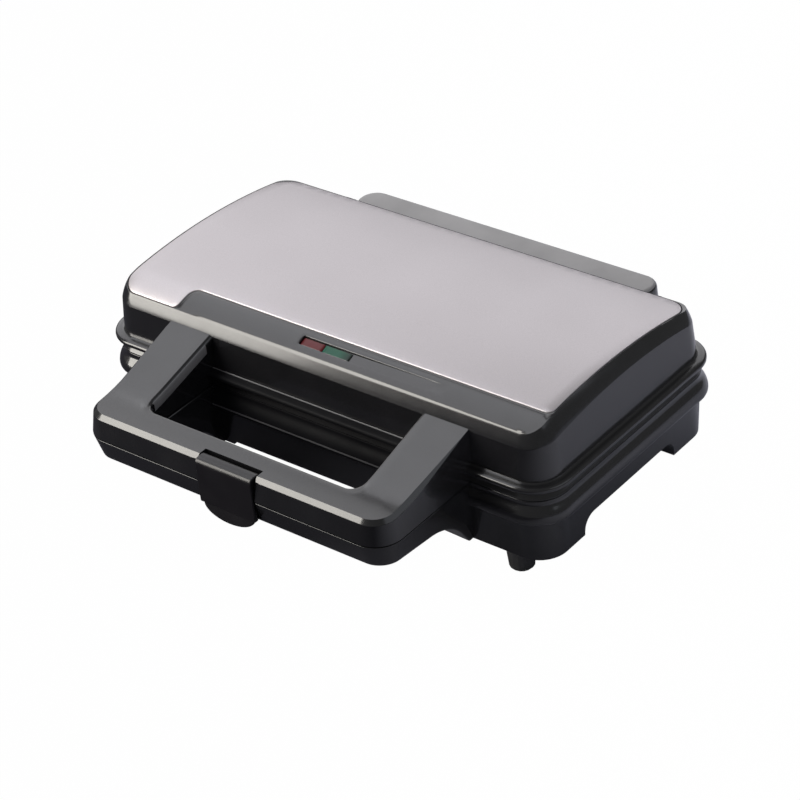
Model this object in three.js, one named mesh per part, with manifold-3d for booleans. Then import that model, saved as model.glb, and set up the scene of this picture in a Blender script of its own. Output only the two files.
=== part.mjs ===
// A table-top toaster for closed sandwiches, in millimetres, with +Z up and the front facing -Y.
// The front of the seam flange is y = 0 while the pieces are made, and the table is z = 0.
// At the end the whole object is moved so that its origin is the middle of its footprint.
import * as THREE from "three";
import { mergeVertices } from "three/addons/utils/BufferGeometryUtils.js";
import Module from "manifold-3d";

const wasm = await Module();
wasm.setup();

// Body outline at the seam between lid and base
const bodyWidth = 264;
const bodyDepth = 137.6;
const bodyCornerRadius = 17.3;
const seamHeight = 46;
const seamGap = 0.3;
const fitGap = 0.3;
const looseGap = 0.6;
const overrun = 8;
const bond = 1;

// Flanges that carry the seam: the lid's tapers in under its bead, the base's has a rounded lip
const seamInset = 1.1;
const seamEdgeInset = 0.35;
const seamEdgeHeight = 0.5;
const lidNeckInset = 2.8;
const lidTaperHeight = 4;
const neckHeight = 0.8;
const beadReach = 1.6;
const beadHeight = 3.4;
const beadRound = 0.7;
const lipStraight = 2;
const lipRise = 7.4;
const lipReach = 1.9;

// Lid shell
const crownHeight = 84.6;
const crownForward = 10.4;
const archRadius = 347;
const browRadius = 35;
const browSetback = 22;
const edgeCrownDrop = 6.8;
const edgeRadius = 300;
const lidWallInset = 2.9;
const lidWallDraft = 1.6;
const rimSideInset = 8.9;
const rimFrontInset = 7;
const rimBackInset = 5.6;
const bevelInsetShares = [0.23, 0.58];
const bevelHeightShares = [0.42, 0.77];
const shellWall = 2.6;
const hollowEdgeDrop = 1.3;

// Sheet panel on the lid
const panelThickness = 1.2;
const panelProud = 0.2;
const panelSideInset = 9.5;
const panelFrontInset = 7.6;
const panelBackInset = 6.2;
const panelRearCorner = 12;
const panelFrontCorner = 8.5;
const panelGap = 0.45;
const notchDepth = 12.9;
const notchSide = 85;
const notchFlare = 2;
const notchInnerCorner = 6;
const notchOuterCorner = 3;
const notchEndCorner = 1.5;

// Lamp windows in the control strip
const windowSetback = 13.6;
const windowWidth = 4.8;
const windowStart = -13.6;
const rampEnd = 70;
const rampDepth = 1.7;
const rampMiddleShare = 0.6;
const redLensLength = 12.6;
const greenLensLength = 16;
const lensThickness = 3;
const lensSunk = 0.7;
const lampRadius = 2;
const lampLength = 11;
const lampDrop = 6.1;
const lampPinRadius = 0.5;
const lampPinLength = 3;
const lampPinSpread = 2.7;
const lampPinDrop = 2.7;
const bracketWidth = 44;
const bracketThickness = 1.2;
const bracketDepth = 8;

// Base shell
const skirtHeight = 12;
const skirtInset = 3.4;
const baseWallInset = 2.3;
const ledgeDrop = 13;
const ledgeReach = 0.8;
const ledgeThickness = 1.1;
const baseNeckInset = 2.9;
const reliefInset = 5.4;
const reliefRise = 6;
const reliefCorner = 4;
const archTopHeight = 21.5;
const archFront = 31.5;
const archBackInset = 34.1;
const archCorner = 7;
const legInset = 14;
const legCoreWall = 3;
const legCoreDepth = 7;
const coverSeatHeight = 24.3;

// Hinge block behind the lid, part of the base
const blockSideInset = 42.8;
const blockGap = 2;
const blockDepth = 18.7;
const blockRise = 21;
const blockDraft = 2.4;
const blockCorner = 11;
const blockRound = 2;
const chamberSideInset = 19.2;
const hingeBehind = 5.4;
const hingeRise = 16;
const hingePinRadius = 2.5;
const hingePinHead = 3.6;
const hingePinHeadLength = 1.4;
const hingePinLength = 9.5;
const pinClearance = 0.08;
const earRadius = 5;
const earWidth = 5.4;
const earGap = 1.1;
const earRootInset = 3.6;
const earDrop = 6;

// Handle, half on the lid and half on the base
const gripFront = 61.8;
const gripSideInset = 41.8;
const gripCorner = 13.8;
const gripTopRise = 12.5;
const gripSlope = 0.275;
const gripLevelDepth = 5.8;
const gripBendLength = 26;
const gripTopInset = 3.6;
const gripChamfer = 1.9;
const gripBottomDrop = 12;
const gripBottomSlope = 0.085;
const gripBottomInset = 2.8;
const gripBottomRound = 1.4;
const gripRootRadius = 27;
const gripRootStart = 25;
const gripArmWidth = 27.8;
const gripBarWidth = 17.8;
const openingCorner = 6.5;
const gripWall = 2.4;
const gripReach = 17.5;
const coverLedge = 1.8;
const handleCoverThickness = 3;
const handleScrewInset = 12.6;
const handleScrewY = 28;
const handleBossRadius = 3.6;

// Latch clip on the handle
const clipWidth = 33;
const clipPinDepth = 4;
const clipPinRise = 9;
const clipBarrelRadius = 3.5;
const clipProud = 0.8;
const clipThickness = 2.4;
const clipBottomDrop = 10.8;
const clipTabWidth = 30;
const clipTabDepth = 6.6;
const clipTabThickness = 1.7;
const clipTabTilt = 0.16;
const clipHookDrop = 8.4;
const clipHookThickness = 2;
const clipHookReach = 1.6;
const clipHookWidth = 18;
const clipPinRadius = 1.3;
const clipPinBearing = 3.2;
const clipRecessDepth = 8.1;
const clipFaceDepth = 2.2;
const clipStepRise = 2.5;

// Cooking plates; the upper one is the lower one turned over
const plateInset = 8.5;
const plateRimDrop = 1;
const plateRimThickness = 3.2;
const plateEdgeRound = 0.8;
const plateLedgeThickness = 3;
const plateLedgeReach = 3.6;
const wellDepth = 12;
const wellWall = 2.4;
const pocketGap = 12;
const pocketMargin = 5.6;
const wellCorner = 9;
const diagonalRidge = 9;
const ridgeWidth = 2.6;
const ridgeHeight = 0.85;
const wellInsetShares = [0, 0.12, 0.38, 0.66, 1];
const wellDepthShares = [0, 0.15, 0.75, 0.95, 1];
const wellShellShares = [0, 0.4, 1];
const wellShellDepthShares = [0, 0.7, 1];
const wellFloorInset = 11;
const ribCount = 4;
const ribHeight = 0.9;
const ribHalfWidth = 1.1;
const ribLengthShare = 0.5;
const plateScrewSetback = 18;
const shieldScrewSpread = 19;
const plateBossRadius = 3.3;
const plateLugHalfWidth = 4.4;
const plateLugThickness = 3;
const plateBossDepth = 5;
const plateScrewLength = 7.6;

// Heating element, heat shield and controls under the lower plate
const heaterRadius = 3.2;
const heaterSideMargin = 41;
const heaterMargin = 32;
const heaterCorner = 16;
const heaterLeadGap = 30;
const heaterBeadRadius = 2.6;
const heaterBeadLength = 5;
const heaterStudRadius = 1.5;
const heaterStudLength = 7;
const shieldThickness = 0.8;
const shieldSideMargin = 31.6;
const shieldMargin = 24.6;
const shieldLip = 2.4;
const shieldCorner = 8;
const shieldClear = 0.7;
const thermostatRadius = 8;
const thermostatStep = 3;
const thermostatClear = 5.8;
const fuseRadius = 2.1;
const fuseLength = 13;
const fuseLeadRadius = 0.7;
const fuseLeadLength = 6;
const fuseClear = 3.3;
const controlShare = 0.33;

// Bottom cover
const coverThickness = 2;
const coverInset = 5.7;
const dishSideInset = 28;
const dishFront = 21;
const dishBackInset = 12;
const dishFloor = 12.8;
const dishDraft = 3;
const dishCorner = 12;
const ventCount = 11;
const ventPitch = 14;
const ventWidth = 3.4;
const ventLength = 46;
const coverLugInset = 20;
const coverLugHalfWidth = 5;
const coverLugThickness = 5;
const coverLugFront = 25;
const coverLugBackInset = 25.6;

// Feet
const footSideInset = 24.6;
const footSetback = 11.2;
const rearFootInset = 10.2;
const rearFootBehind = 10.4;
const footTopRadius = 7;
const footBottomRadius = 6;
const footSpigotRadius = 3.6;
const footSpigotHeight = 4;
const footEdgeRound = 1;
const footBossRadius = 7.6;

// Mains terminals and cord gland
const glandX = -55;
const glandHeight = 32.5;
const glandBore = 3.5;
const glandBody = 5.2;
const glandFlange = 7.4;
const glandFlangeThickness = 2;
const terminalX = -20;
const terminalLength = 30;
const terminalDepth = 10;
const terminalHeight = 13;
const terminalBase = 26;
const terminalHole = 1.9;
const terminalPitch = 9.5;

// Screws
const screwHeadRadius = 2.7;
const screwHeadHeight = 1.6;
const screwShankRadius = 1.4;
const screwSlotWidth = 0.7;
const screwSlotDepth = 0.7;
const screwBite = 6;

// Fineness of curves, as counts
const cornerSteps = 5;
const wellCornerSteps = 3;
const sideSteps = 9;
const lampEndSteps = 2;
const lipSteps = 4;
const archSteps = 16;
const roundSides = 16;
const smallSides = 12;
const tubeSides = 8;
const pinSides = 6;
const mergeDistance = 1e-3;

const halfWidth = bodyWidth / 2;
const lidFoot = seamHeight + seamGap / 2;
const baseTop = seamHeight - seamGap / 2;
const quarterTurn = Math.PI / 2;

// Places on the body that follow from its outline, its seam and its crown
const crownSetback = bodyDepth / 2 - crownForward;
const edgeCrownHeight = crownHeight - edgeCrownDrop;
const ledgeHeight = seamHeight - ledgeDrop;
const lipHeight = seamHeight - lipStraight - lipRise;
const archBack = bodyDepth - archBackInset;
const legInner = halfWidth - legInset;
const dishHalfWidth = halfWidth - dishSideInset;
const coverLugX = halfWidth - coverLugInset;
const coverLugBack = bodyDepth - coverLugBackInset;
const heaterHalfWidth = halfWidth - heaterSideMargin;
const shieldHalfWidth = halfWidth - shieldSideMargin;

// Places on the hinge block, behind the body
const blockHalfWidth = halfWidth - blockSideInset;
const blockFront = bodyDepth + blockGap;
const blockBack = blockFront + blockDepth;
const blockTop = seamHeight + blockRise;
const chamberHalfWidth = blockHalfWidth - chamberSideInset;
const hingeSetback = bodyDepth + hingeBehind;
const hingeHeight = seamHeight + hingeRise;
const earRoot = bodyDepth - earRootInset;
const footX = halfWidth - footSideInset;
const rearFootX = blockHalfWidth - rearFootInset;
const rearFootSetback = bodyDepth + rearFootBehind;

// Places on the handle and its clip
const gripHalfWidth = halfWidth - gripSideInset;
const gripTopHeight = seamHeight + gripTopRise;
const gripBendStart = gripFront - gripLevelDepth;
const gripBendEnd = gripBendStart - gripBendLength;
const gripBottomHeight = seamHeight - gripBottomDrop;
const openingHalfWidth = gripHalfWidth - gripArmWidth;
const openingFront = gripFront - gripBarWidth;
const handleScrewX = openingHalfWidth + handleScrewInset;
const clipPinSetback = gripFront - clipPinDepth;
const clipPinHeight = seamHeight + clipPinRise;
const clipFace = gripFront + clipProud;
const clipBottomHeight = seamHeight - clipBottomDrop;
const clipHookHeight = seamHeight - clipHookDrop;
const clipRecessBack = gripFront - clipRecessDepth;
const clipLowerRecess = gripFront - clipFaceDepth;
const clipRecessStep = seamHeight + clipStepRise;

// Materials
const blackPlastic = new THREE.MeshStandardMaterial({ color: 0x1b1b1e, roughness: 0.32, metalness: 0 });
const matteBlack = new THREE.MeshStandardMaterial({ color: 0x161618, roughness: 0.6, metalness: 0 });
const panelSheet = new THREE.MeshStandardMaterial({ color: 0xc9c3c6, roughness: 0.34, metalness: 0.75 });
const redLensPlastic = new THREE.MeshStandardMaterial({ color: 0x8c2a30, roughness: 0.25, metalness: 0 });
const greenLensPlastic = new THREE.MeshStandardMaterial({ color: 0x2c6e50, roughness: 0.25, metalness: 0 });
const castPlate = new THREE.MeshStandardMaterial({ color: 0x242426, roughness: 0.5, metalness: 0.3 });
const brightSteel = new THREE.MeshStandardMaterial({ color: 0xb9bbbd, roughness: 0.3, metalness: 1 });
const heaterSteel = new THREE.MeshStandardMaterial({ color: 0x6e6a64, roughness: 0.5, metalness: 0.9 });
const shieldSteel = new THREE.MeshStandardMaterial({ color: 0xc4c6c8, roughness: 0.38, metalness: 0.9 });
const blackRubber = new THREE.MeshStandardMaterial({ color: 0x121212, roughness: 0.85, metalness: 0 });
const paleCeramic = new THREE.MeshStandardMaterial({ color: 0xe4dfd2, roughness: 0.6, metalness: 0 });
const lampGlass = new THREE.MeshStandardMaterial({ color: 0xd8d2c4, roughness: 0.15, metalness: 0 });

// A closed geometry as a solid that can be cut and joined.
function solidOf(geometry) {
  const bare = geometry.clone();
  bare.deleteAttribute("normal");
  bare.deleteAttribute("uv");
  const merged = mergeVertices(bare, mergeDistance);
  return new wasm.Manifold(
    new wasm.Mesh({
      numProp: 3,
      vertProperties: merged.attributes.position.array,
      triVerts: new Uint32Array(merged.index.array),
    }),
  );
}

// A solid as a geometry again.
function geometryOf(solid) {
  const mesh = solid.getMesh();
  const geometry = new THREE.BufferGeometry();
  geometry.setAttribute("position", new THREE.BufferAttribute(mesh.vertProperties, 3));
  geometry.setIndex(new THREE.BufferAttribute(mesh.triVerts, 1));
  return geometry;
}

function joinAll(solids) {
  return solids.reduce((whole, next) => whole.add(next));
}

function cutAll(solid, cutters) {
  return cutters.reduce((left, cutter) => left.subtract(cutter), solid);
}

// A rounded rectangle seen from above, whose height may change from front to back.
// It runs up the right side from front to back and returns down the left side, point facing point.
function planRing(half, front, back, radius, height, steps = 1) {
  const heightAt = typeof height === "function" ? height : () => height;
  const right = [];
  for (let i = 0; i <= cornerSteps; i++) {
    const turn = (i / cornerSteps) * quarterTurn;
    right.push([half - radius * (1 - Math.sin(turn)), front + radius * (1 - Math.cos(turn))]);
  }
  for (let i = 1; i < steps; i++) {
    right.push([half, THREE.MathUtils.lerp(front + radius, back - radius, i / steps)]);
  }
  for (let i = 0; i <= cornerSteps; i++) {
    const turn = (i / cornerSteps) * quarterTurn;
    right.push([half - radius * (1 - Math.cos(turn)), back - radius * (1 - Math.sin(turn))]);
  }
  const left = right.map(([x, y]) => [-x, y]).reverse();
  return [...right, ...left].map(([x, y]) => new THREE.Vector3(x, y, heightAt(y)));
}

// The body's outline drawn in by an inset.
function bodyRing(inset, height, steps) {
  const radius = bodyCornerRadius - inset;
  return planRing(halfWidth - inset, inset, bodyDepth - inset, radius, height, steps);
}

// A closed solid through rings of equal point count, lowest first; each end is closed by
// strips between facing points.
function loftRings(rings) {
  const count = rings[0].length;
  const top = (rings.length - 1) * count;
  const index = [];
  for (let k = 0; k + 1 < rings.length; k++) {
    for (let i = 0; i < count; i++) {
      const a = k * count + i;
      const b = k * count + ((i + 1) % count);
      index.push(a, b, b + count, a, b + count, a + count);
    }
  }
  for (let i = 0; i + 1 < count / 2; i++) {
    const j = count - 1 - i;
    index.push(i, j, j - 1, i, j - 1, i + 1);
    index.push(top + i, top + i + 1, top + j - 1, top + i, top + j - 1, top + j);
  }
  return solidFromRings(rings, index);
}

// The same for rings that are convex outlines, closed by fans round each end's first point.
function loftConvex(rings) {
  const count = rings[0].length;
  const top = (rings.length - 1) * count;
  const index = [];
  for (let k = 0; k + 1 < rings.length; k++) {
    for (let i = 0; i < count; i++) {
      const a = k * count + i;
      const b = k * count + ((i + 1) % count);
      index.push(a, b, b + count, a, b + count, a + count);
    }
  }
  for (let i = 1; i + 1 < count; i++) {
    index.push(0, i + 1, i);
    index.push(top, top + i, top + i + 1);
  }
  return solidFromRings(rings, index);
}

function solidFromRings(rings, index) {
  const positions = rings.flat().flatMap((p) => [p.x, p.y, p.z]);
  const geometry = new THREE.BufferGeometry();
  geometry.setAttribute("position", new THREE.Float32BufferAttribute(positions, 3));
  geometry.setIndex(index);
  return solidOf(geometry);
}

// An outline with each corner rounded by its own radius: corners are [x, y, radius].
function roundedOutline(corners, steps = cornerSteps) {
  const shape = new THREE.Shape();
  const points = corners.map(([x, y]) => new THREE.Vector2(x, y));
  corners.forEach(([, , radius], i) => {
    const corner = points[i];
    const before = points[(i + points.length - 1) % points.length].clone().sub(corner).normalize();
    const after = points[(i + 1) % points.length].clone().sub(corner).normalize();
    const halfAngle = Math.acos(THREE.MathUtils.clamp(before.dot(after), -1, 1)) / 2;
    const reach = radius / Math.tan(halfAngle);
    const start = corner.clone().addScaledVector(before, reach);
    const end = corner.clone().addScaledVector(after, reach);
    const bisector = before.clone().add(after).normalize();
    const centre = corner.clone().addScaledVector(bisector, radius / Math.sin(halfAngle));
    const from = Math.atan2(start.y - centre.y, start.x - centre.x);
    let sweep = Math.atan2(end.y - centre.y, end.x - centre.x) - from;
    if (sweep > Math.PI) sweep -= 2 * Math.PI;
    if (sweep < -Math.PI) sweep += 2 * Math.PI;
    for (let k = 0; k <= steps; k++) {
      const angle = from + (sweep * k) / steps;
      const x = centre.x + radius * Math.cos(angle);
      const y = centre.y + radius * Math.sin(angle);
      if (i === 0 && k === 0) shape.moveTo(x, y);
      else shape.lineTo(x, y);
    }
  });
  shape.closePath();
  return shape;
}

function polygonShape(points) {
  return new THREE.Shape(points.map(([x, y]) => new THREE.Vector2(x, y)));
}

// A plan shape raised from one height to another.
function upright(shape, low, high) {
  const geometry = new THREE.ExtrudeGeometry(shape, { depth: high - low, bevelEnabled: false });
  return solidOf(geometry.translate(0, 0, low));
}

// A shape drawn in y and z, drawn out along x.
function crosswise(shape, left, right) {
  const geometry = new THREE.ExtrudeGeometry(shape, { depth: right - left, bevelEnabled: false });
  const turned = new THREE.Matrix4().makeBasis(
    new THREE.Vector3(0, 1, 0),
    new THREE.Vector3(0, 0, 1),
    new THREE.Vector3(1, 0, 0),
  );
  return solidOf(geometry.applyMatrix4(turned).translate(left, 0, 0));
}

function box(left, right, front, back, low, high) {
  const geometry = new THREE.BoxGeometry(right - left, back - front, high - low);
  return solidOf(geometry.translate((left + right) / 2, (front + back) / 2, (low + high) / 2));
}

// A box with upright edges rounded.
function roundedBlock(half, front, back, radius, low, high) {
  return loftRings([planRing(half, front, back, radius, low), planRing(half, front, back, radius, high)]);
}

// A round bar along x, y or z.
function barX(radius, left, right, y, z, sides = smallSides) {
  const geometry = new THREE.CylinderGeometry(radius, radius, right - left, sides);
  return solidOf(geometry.rotateZ(quarterTurn).translate((left + right) / 2, y, z));
}

function barY(radius, front, back, x, z, sides = smallSides) {
  const geometry = new THREE.CylinderGeometry(radius, radius, back - front, sides);
  return solidOf(geometry.translate(x, (front + back) / 2, z));
}

function barZ(radius, low, high, x, y, sides = smallSides) {
  const geometry = new THREE.CylinderGeometry(radius, radius, high - low, sides);
  return solidOf(geometry.rotateX(quarterTurn).translate(x, y, (low + high) / 2));
}

// A turned piece whose profile is [radius, height] points from the axis and back to it.
function turned(profile, sides) {
  const points = profile.map(([radius, height]) => new THREE.Vector2(radius, height));
  return solidOf(new THREE.LatheGeometry(points, sides).rotateX(quarterTurn));
}

// Arch of the lid's top from front to back, with the brow that turns down over the front.
const browTurn = Math.asin((crownSetback - browSetback) / archRadius);
const browCentreY = crownSetback - (archRadius - browRadius) * Math.sin(browTurn);
const browCentreZ = crownHeight - archRadius + (archRadius - browRadius) * Math.cos(browTurn);

function archHeight(y) {
  if (y > browSetback) {
    return crownHeight - archRadius + Math.sqrt(archRadius ** 2 - (y - crownSetback) ** 2);
  }
  return browCentreZ + Math.sqrt(browRadius ** 2 - (y - browCentreY) ** 2);
}

// Top edge of the lid's wall, a flatter arch.
function edgeHeight(y) {
  return edgeCrownHeight - edgeRadius + Math.sqrt(edgeRadius ** 2 - (y - bodyDepth / 2) ** 2);
}

// A slab that follows the arch between two drops below it.
function archSlab(drop, rise, reach) {
  const points = [];
  for (let i = 0; i <= archSteps; i++) {
    const y = THREE.MathUtils.lerp(reach, bodyDepth - reach, i / archSteps);
    points.push([y, archHeight(y) - drop]);
  }
  for (let i = archSteps; i >= 0; i--) {
    const y = THREE.MathUtils.lerp(reach, bodyDepth - reach, i / archSteps);
    points.push([y, archHeight(y) + rise]);
  }
  return crosswise(polygonShape(points), -halfWidth, halfWidth);
}

// The rounded edge of a flange at the seam: direction is +1 for the lid, -1 for the base.
function seamRings(direction, steps) {
  const start = seamHeight + (direction * seamGap) / 2;
  return [
    bodyRing(seamInset + seamEdgeInset, start, steps),
    bodyRing(seamInset, start + direction * seamEdgeHeight, steps),
  ];
}

// The base's lip, from the straight part under the seam out to its widest and back in to the ledge.
function lipRings() {
  const rings = [bodyRing(seamInset, seamHeight - lipStraight)];
  for (let i = 1; i <= lipSteps; i++) {
    const share = i / lipSteps;
    const inset = seamInset - (seamInset + lipReach) * Math.sin(share * quarterTurn);
    rings.push(bodyRing(inset, seamHeight - lipStraight - lipRise * share));
  }
  for (let i = 1; i <= lipSteps; i++) {
    const turn = (i / lipSteps) * quarterTurn;
    const inset = (lipReach + baseNeckInset) * (1 - Math.cos(turn)) - lipReach;
    rings.push(bodyRing(inset, lipHeight - (lipHeight - ledgeHeight) * Math.sin(turn)));
  }
  return rings;
}

// A ring of the lid's bevel, a share of the way from the wall's top edge to the rim.
function bevelRing(insetShare, heightShare) {
  const wallTop = lidWallInset + lidWallDraft;
  const side = THREE.MathUtils.lerp(wallTop, rimSideInset, insetShare);
  const front = THREE.MathUtils.lerp(wallTop, rimFrontInset, insetShare);
  const back = bodyDepth - THREE.MathUtils.lerp(wallTop, rimBackInset, insetShare);
  const radius = bodyCornerRadius - side;
  const height = (y) => {
    return THREE.MathUtils.lerp(edgeHeight(y), archHeight(y) - panelProud, heightShare);
  };
  return planRing(halfWidth - side, front, back, radius, height, sideSteps);
}

function lidOuter() {
  const rings = seamRings(1, sideSteps);
  const neckTop = lidFoot + lidTaperHeight + neckHeight;
  const beadTop = neckTop + beadHeight;
  rings.push(bodyRing(lidNeckInset, lidFoot + lidTaperHeight, sideSteps));
  rings.push(bodyRing(lidNeckInset, neckTop, sideSteps));
  rings.push(bodyRing(-beadReach, neckTop + beadRound, sideSteps));
  rings.push(bodyRing(-beadReach, beadTop - beadRound, sideSteps));
  rings.push(bodyRing(lidWallInset, beadTop, sideSteps));
  rings.push(bodyRing(lidWallInset + lidWallDraft, edgeHeight, sideSteps));
  bevelInsetShares.forEach((share, i) => rings.push(bevelRing(share, bevelHeightShares[i])));
  rings.push(bevelRing(1, 1));
  return loftRings(rings);
}

// The hollow of a housing half at its plate: the seat for the plate's rim and the throat below it.
const plateSeatInset = plateInset - looseGap;
const plateThroatInset = plateSeatInset + plateLedgeReach;
const plateSeatDrop = plateRimDrop + plateRimThickness + fitGap;

function plateSeatCutters(direction) {
  const mouth = seamHeight - direction * overrun;
  const seat = seamHeight + direction * plateSeatDrop;
  const under = seat + direction * (plateLedgeThickness + fitGap);
  const levels = [mouth, seat].sort((a, b) => a - b);
  const throat = [mouth, under].sort((a, b) => a - b);
  return [
    loftRings(levels.map((level) => bodyRing(plateSeatInset, level))),
    loftRings(throat.map((level) => bodyRing(plateThroatInset, level))),
  ];
}

// The hollow of the lid above its plate ledge, under the arch.
function lidHollow() {
  const start = seamHeight + plateSeatDrop + plateLedgeThickness;
  const wall = lidWallInset + shellWall;
  const ceiling = panelThickness + fitGap + shellWall;
  const side = rimSideInset + shellWall;
  const top = planRing(
    halfWidth - side,
    rimFrontInset + shellWall,
    bodyDepth - rimBackInset - shellWall,
    bodyCornerRadius - side,
    (y) => archHeight(y) - ceiling,
    sideSteps,
  );
  return loftRings([
    bodyRing(wall, start, sideSteps),
    bodyRing(wall + lidWallDraft, (y) => edgeHeight(y) - hollowEdgeDrop, sideSteps),
    top,
  ]);
}

// Plan outline of the sheet panel, grown by a gap: a tab at the left front, then the notch for the
// control strip, which runs out at the right side.
function panelOutline(grow) {
  const side = halfWidth - panelSideInset + grow;
  const front = panelFrontInset - grow;
  const back = bodyDepth - panelBackInset + grow;
  const notchBack = panelFrontInset + notchDepth - grow;
  return roundedOutline([
    [side, back, panelRearCorner + grow],
    [-side, back, panelRearCorner + grow],
    [-side, front, panelFrontCorner + grow],
    [-notchSide - notchFlare + grow, front, notchOuterCorner + grow],
    [-notchSide + grow, notchBack, notchInnerCorner - grow],
    [side, notchBack, notchEndCorner + grow],
  ]);
}

function makeTopPanel() {
  const plan = upright(panelOutline(0), seamHeight, crownHeight + overrun);
  return plan.intersect(archSlab(panelThickness, 0, bond));
}

function panelRecess() {
  const plan = upright(panelOutline(panelGap), seamHeight, crownHeight + overrun);
  return plan.intersect(archSlab(panelThickness + fitGap, overrun, 0));
}

// Places a solid drawn flat about the lamp windows on the sloping strip of the lid.
const stripSlope = Math.atan(
  (browCentreY - windowSetback) / Math.sqrt(browRadius ** 2 - (windowSetback - browCentreY) ** 2),
);

function onStrip(geometry) {
  const height = archHeight(windowSetback) - panelProud;
  return solidOf(geometry.rotateX(stripSlope).translate(0, windowSetback, height));
}

function stripBox(left, right, halfDepth, low, high) {
  const geometry = new THREE.BoxGeometry(right - left, 2 * halfDepth, high - low);
  return onStrip(geometry.translate((left + right) / 2, 0, (low + high) / 2));
}

const redStart = windowStart + fitGap;
const redEnd = redStart + redLensLength;
const greenStart = redEnd + fitGap;
const greenEnd = greenStart + greenLensLength;

// The long scoop that is deep at the lenses and runs out to the right.
function lampScoop() {
  const ramp = polygonShape([
    [windowStart, -rampDepth],
    [greenEnd, -rampDepth * rampMiddleShare],
    [rampEnd, 0],
    [rampEnd, rampDepth],
    [windowStart, rampDepth],
  ]);
  const geometry = new THREE.ExtrudeGeometry(ramp, { depth: windowWidth, bevelEnabled: false });
  return onStrip(geometry.rotateX(quarterTurn).translate(0, windowWidth / 2, 0));
}

const lensTop = -lensSunk;
const lensBottom = lensTop - lensThickness;

function lensWindow() {
  const half = windowWidth / 2;
  return stripBox(windowStart, greenEnd + fitGap, half, lensBottom - overrun, lensTop);
}

function makeLens(start, end) {
  const half = windowWidth / 2 - fitGap;
  return stripBox(start, end, half, lensBottom, lensTop);
}

// A neon lamp lying under its lens, with its two wire ends.
function makeLamp(start, end) {
  const middle = (start + end) / 2;
  const straight = lampLength - 2 * lampRadius;
  const geometry = new THREE.CapsuleGeometry(lampRadius, straight, lampEndSteps, tubeSides);
  const glass = onStrip(geometry.rotateZ(quarterTurn).translate(middle, 0, -lampDrop));
  const pins = [-1, 1].map((side) => {
    const pin = new THREE.CylinderGeometry(lampPinRadius, lampPinRadius, lampPinLength, pinSides);
    const x = middle + side * lampPinSpread;
    return onStrip(pin.rotateX(quarterTurn).translate(x, 0, -lampDrop - lampPinDrop));
  });
  return joinAll([glass, ...pins]);
}

// The strip of board under the lamps, which the lid's two posts hold.
const bracketTop = -lampDrop - lampRadius - fitGap;
const bracketMiddle = (redStart + greenEnd) / 2;

function makeLampBoard() {
  const left = bracketMiddle - bracketWidth / 2;
  const right = bracketMiddle + bracketWidth / 2;
  const board = stripBox(left, right, bracketDepth / 2, bracketTop - bracketThickness, bracketTop);
  const holes = [];
  for (const [start, end] of [[redStart, redEnd], [greenStart, greenEnd]]) {
    for (const side of [-1, 1]) {
      const x = (start + end) / 2 + side * lampPinSpread;
      const radius = lampPinRadius + fitGap;
      const hole = new THREE.CylinderGeometry(radius, radius, overrun, pinSides);
      holes.push(onStrip(hole.rotateX(quarterTurn).translate(x, 0, bracketTop)));
    }
  }
  return cutAll(board, holes);
}

function lampPosts() {
  return [-1, 1].map((side) => {
    const x = bracketMiddle + side * (bracketWidth / 2 - bracketThickness);
    const half = bracketThickness;
    return stripBox(x - half, x + half, windowWidth / 2, bracketTop + fitGap, -shellWall / 2);
  });
}

// Hinge ears on the lid's back wall, outside the ends of the hinge block.
const earInner = blockHalfWidth + earGap;
const earOuter = earInner + earWidth;

function hingeEars() {
  const shape = new THREE.Shape();
  shape.moveTo(earRoot, hingeHeight - earDrop);
  shape.lineTo(hingeSetback, hingeHeight - earRadius);
  shape.absarc(hingeSetback, hingeHeight, earRadius, -quarterTurn, quarterTurn, false);
  shape.lineTo(earRoot, hingeHeight + earRadius);
  shape.closePath();
  return [crosswise(shape, earInner, earOuter), crosswise(shape, -earOuter, -earInner)];
}

function hingeBores(radius) {
  const reach = earOuter + overrun;
  return barX(radius, -reach, reach, hingeSetback, hingeHeight, roundSides);
}

// Heights of the handle's top and underside from front to back.
function gripTop(y) {
  const bend = gripBendEnd - gripBendStart;
  if (y < -gripBendStart) return gripTopHeight;
  if (y < -gripBendEnd) return gripTopHeight - (gripSlope * (y + gripBendStart) ** 2) / (2 * bend);
  return gripTopHeight + gripSlope * (y + (gripBendStart + gripBendEnd) / 2);
}

function gripBottom(y) {
  const level = gripBottomHeight - gripBottomSlope * (y + gripFront);
  if (y < -gripRootStart) return level;
  const rise = Math.sqrt(Math.max(gripRootRadius ** 2 - (y + gripRootStart) ** 2, 0));
  return Math.max(level - gripRootRadius + rise, skirtHeight);
}

function gripRing(inset, height) {
  const corner = gripCorner - inset;
  return planRing(gripHalfWidth - inset, inset - gripFront, gripReach, corner, height, sideSteps);
}

function openingRing(grow, height) {
  const front = -openingFront - grow;
  return planRing(openingHalfWidth + grow, front, gripReach + overrun, openingCorner + grow, height);
}

// The finger opening through the handle, grown by a wall where a hollow has to stay clear of it.
function openingCutter(grow) {
  return loftRings([openingRing(grow, 0), openingRing(grow, crownHeight + overrun)]);
}

// Recess for the clip in both halves: deep round the barrel, shallow behind the face.
const clipHalf = clipWidth / 2;
const clipRecessHalf = clipHalf + looseGap;

function clipRecess(grow) {
  const half = clipRecessHalf + grow;
  const front = -gripFront - overrun;
  const upper = box(-half, half, front, grow - clipRecessBack, clipRecessStep - grow, crownHeight);
  const lower = box(-half, half, front, grow - clipLowerRecess, 0, clipRecessStep + grow);
  return upper.add(lower);
}

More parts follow.
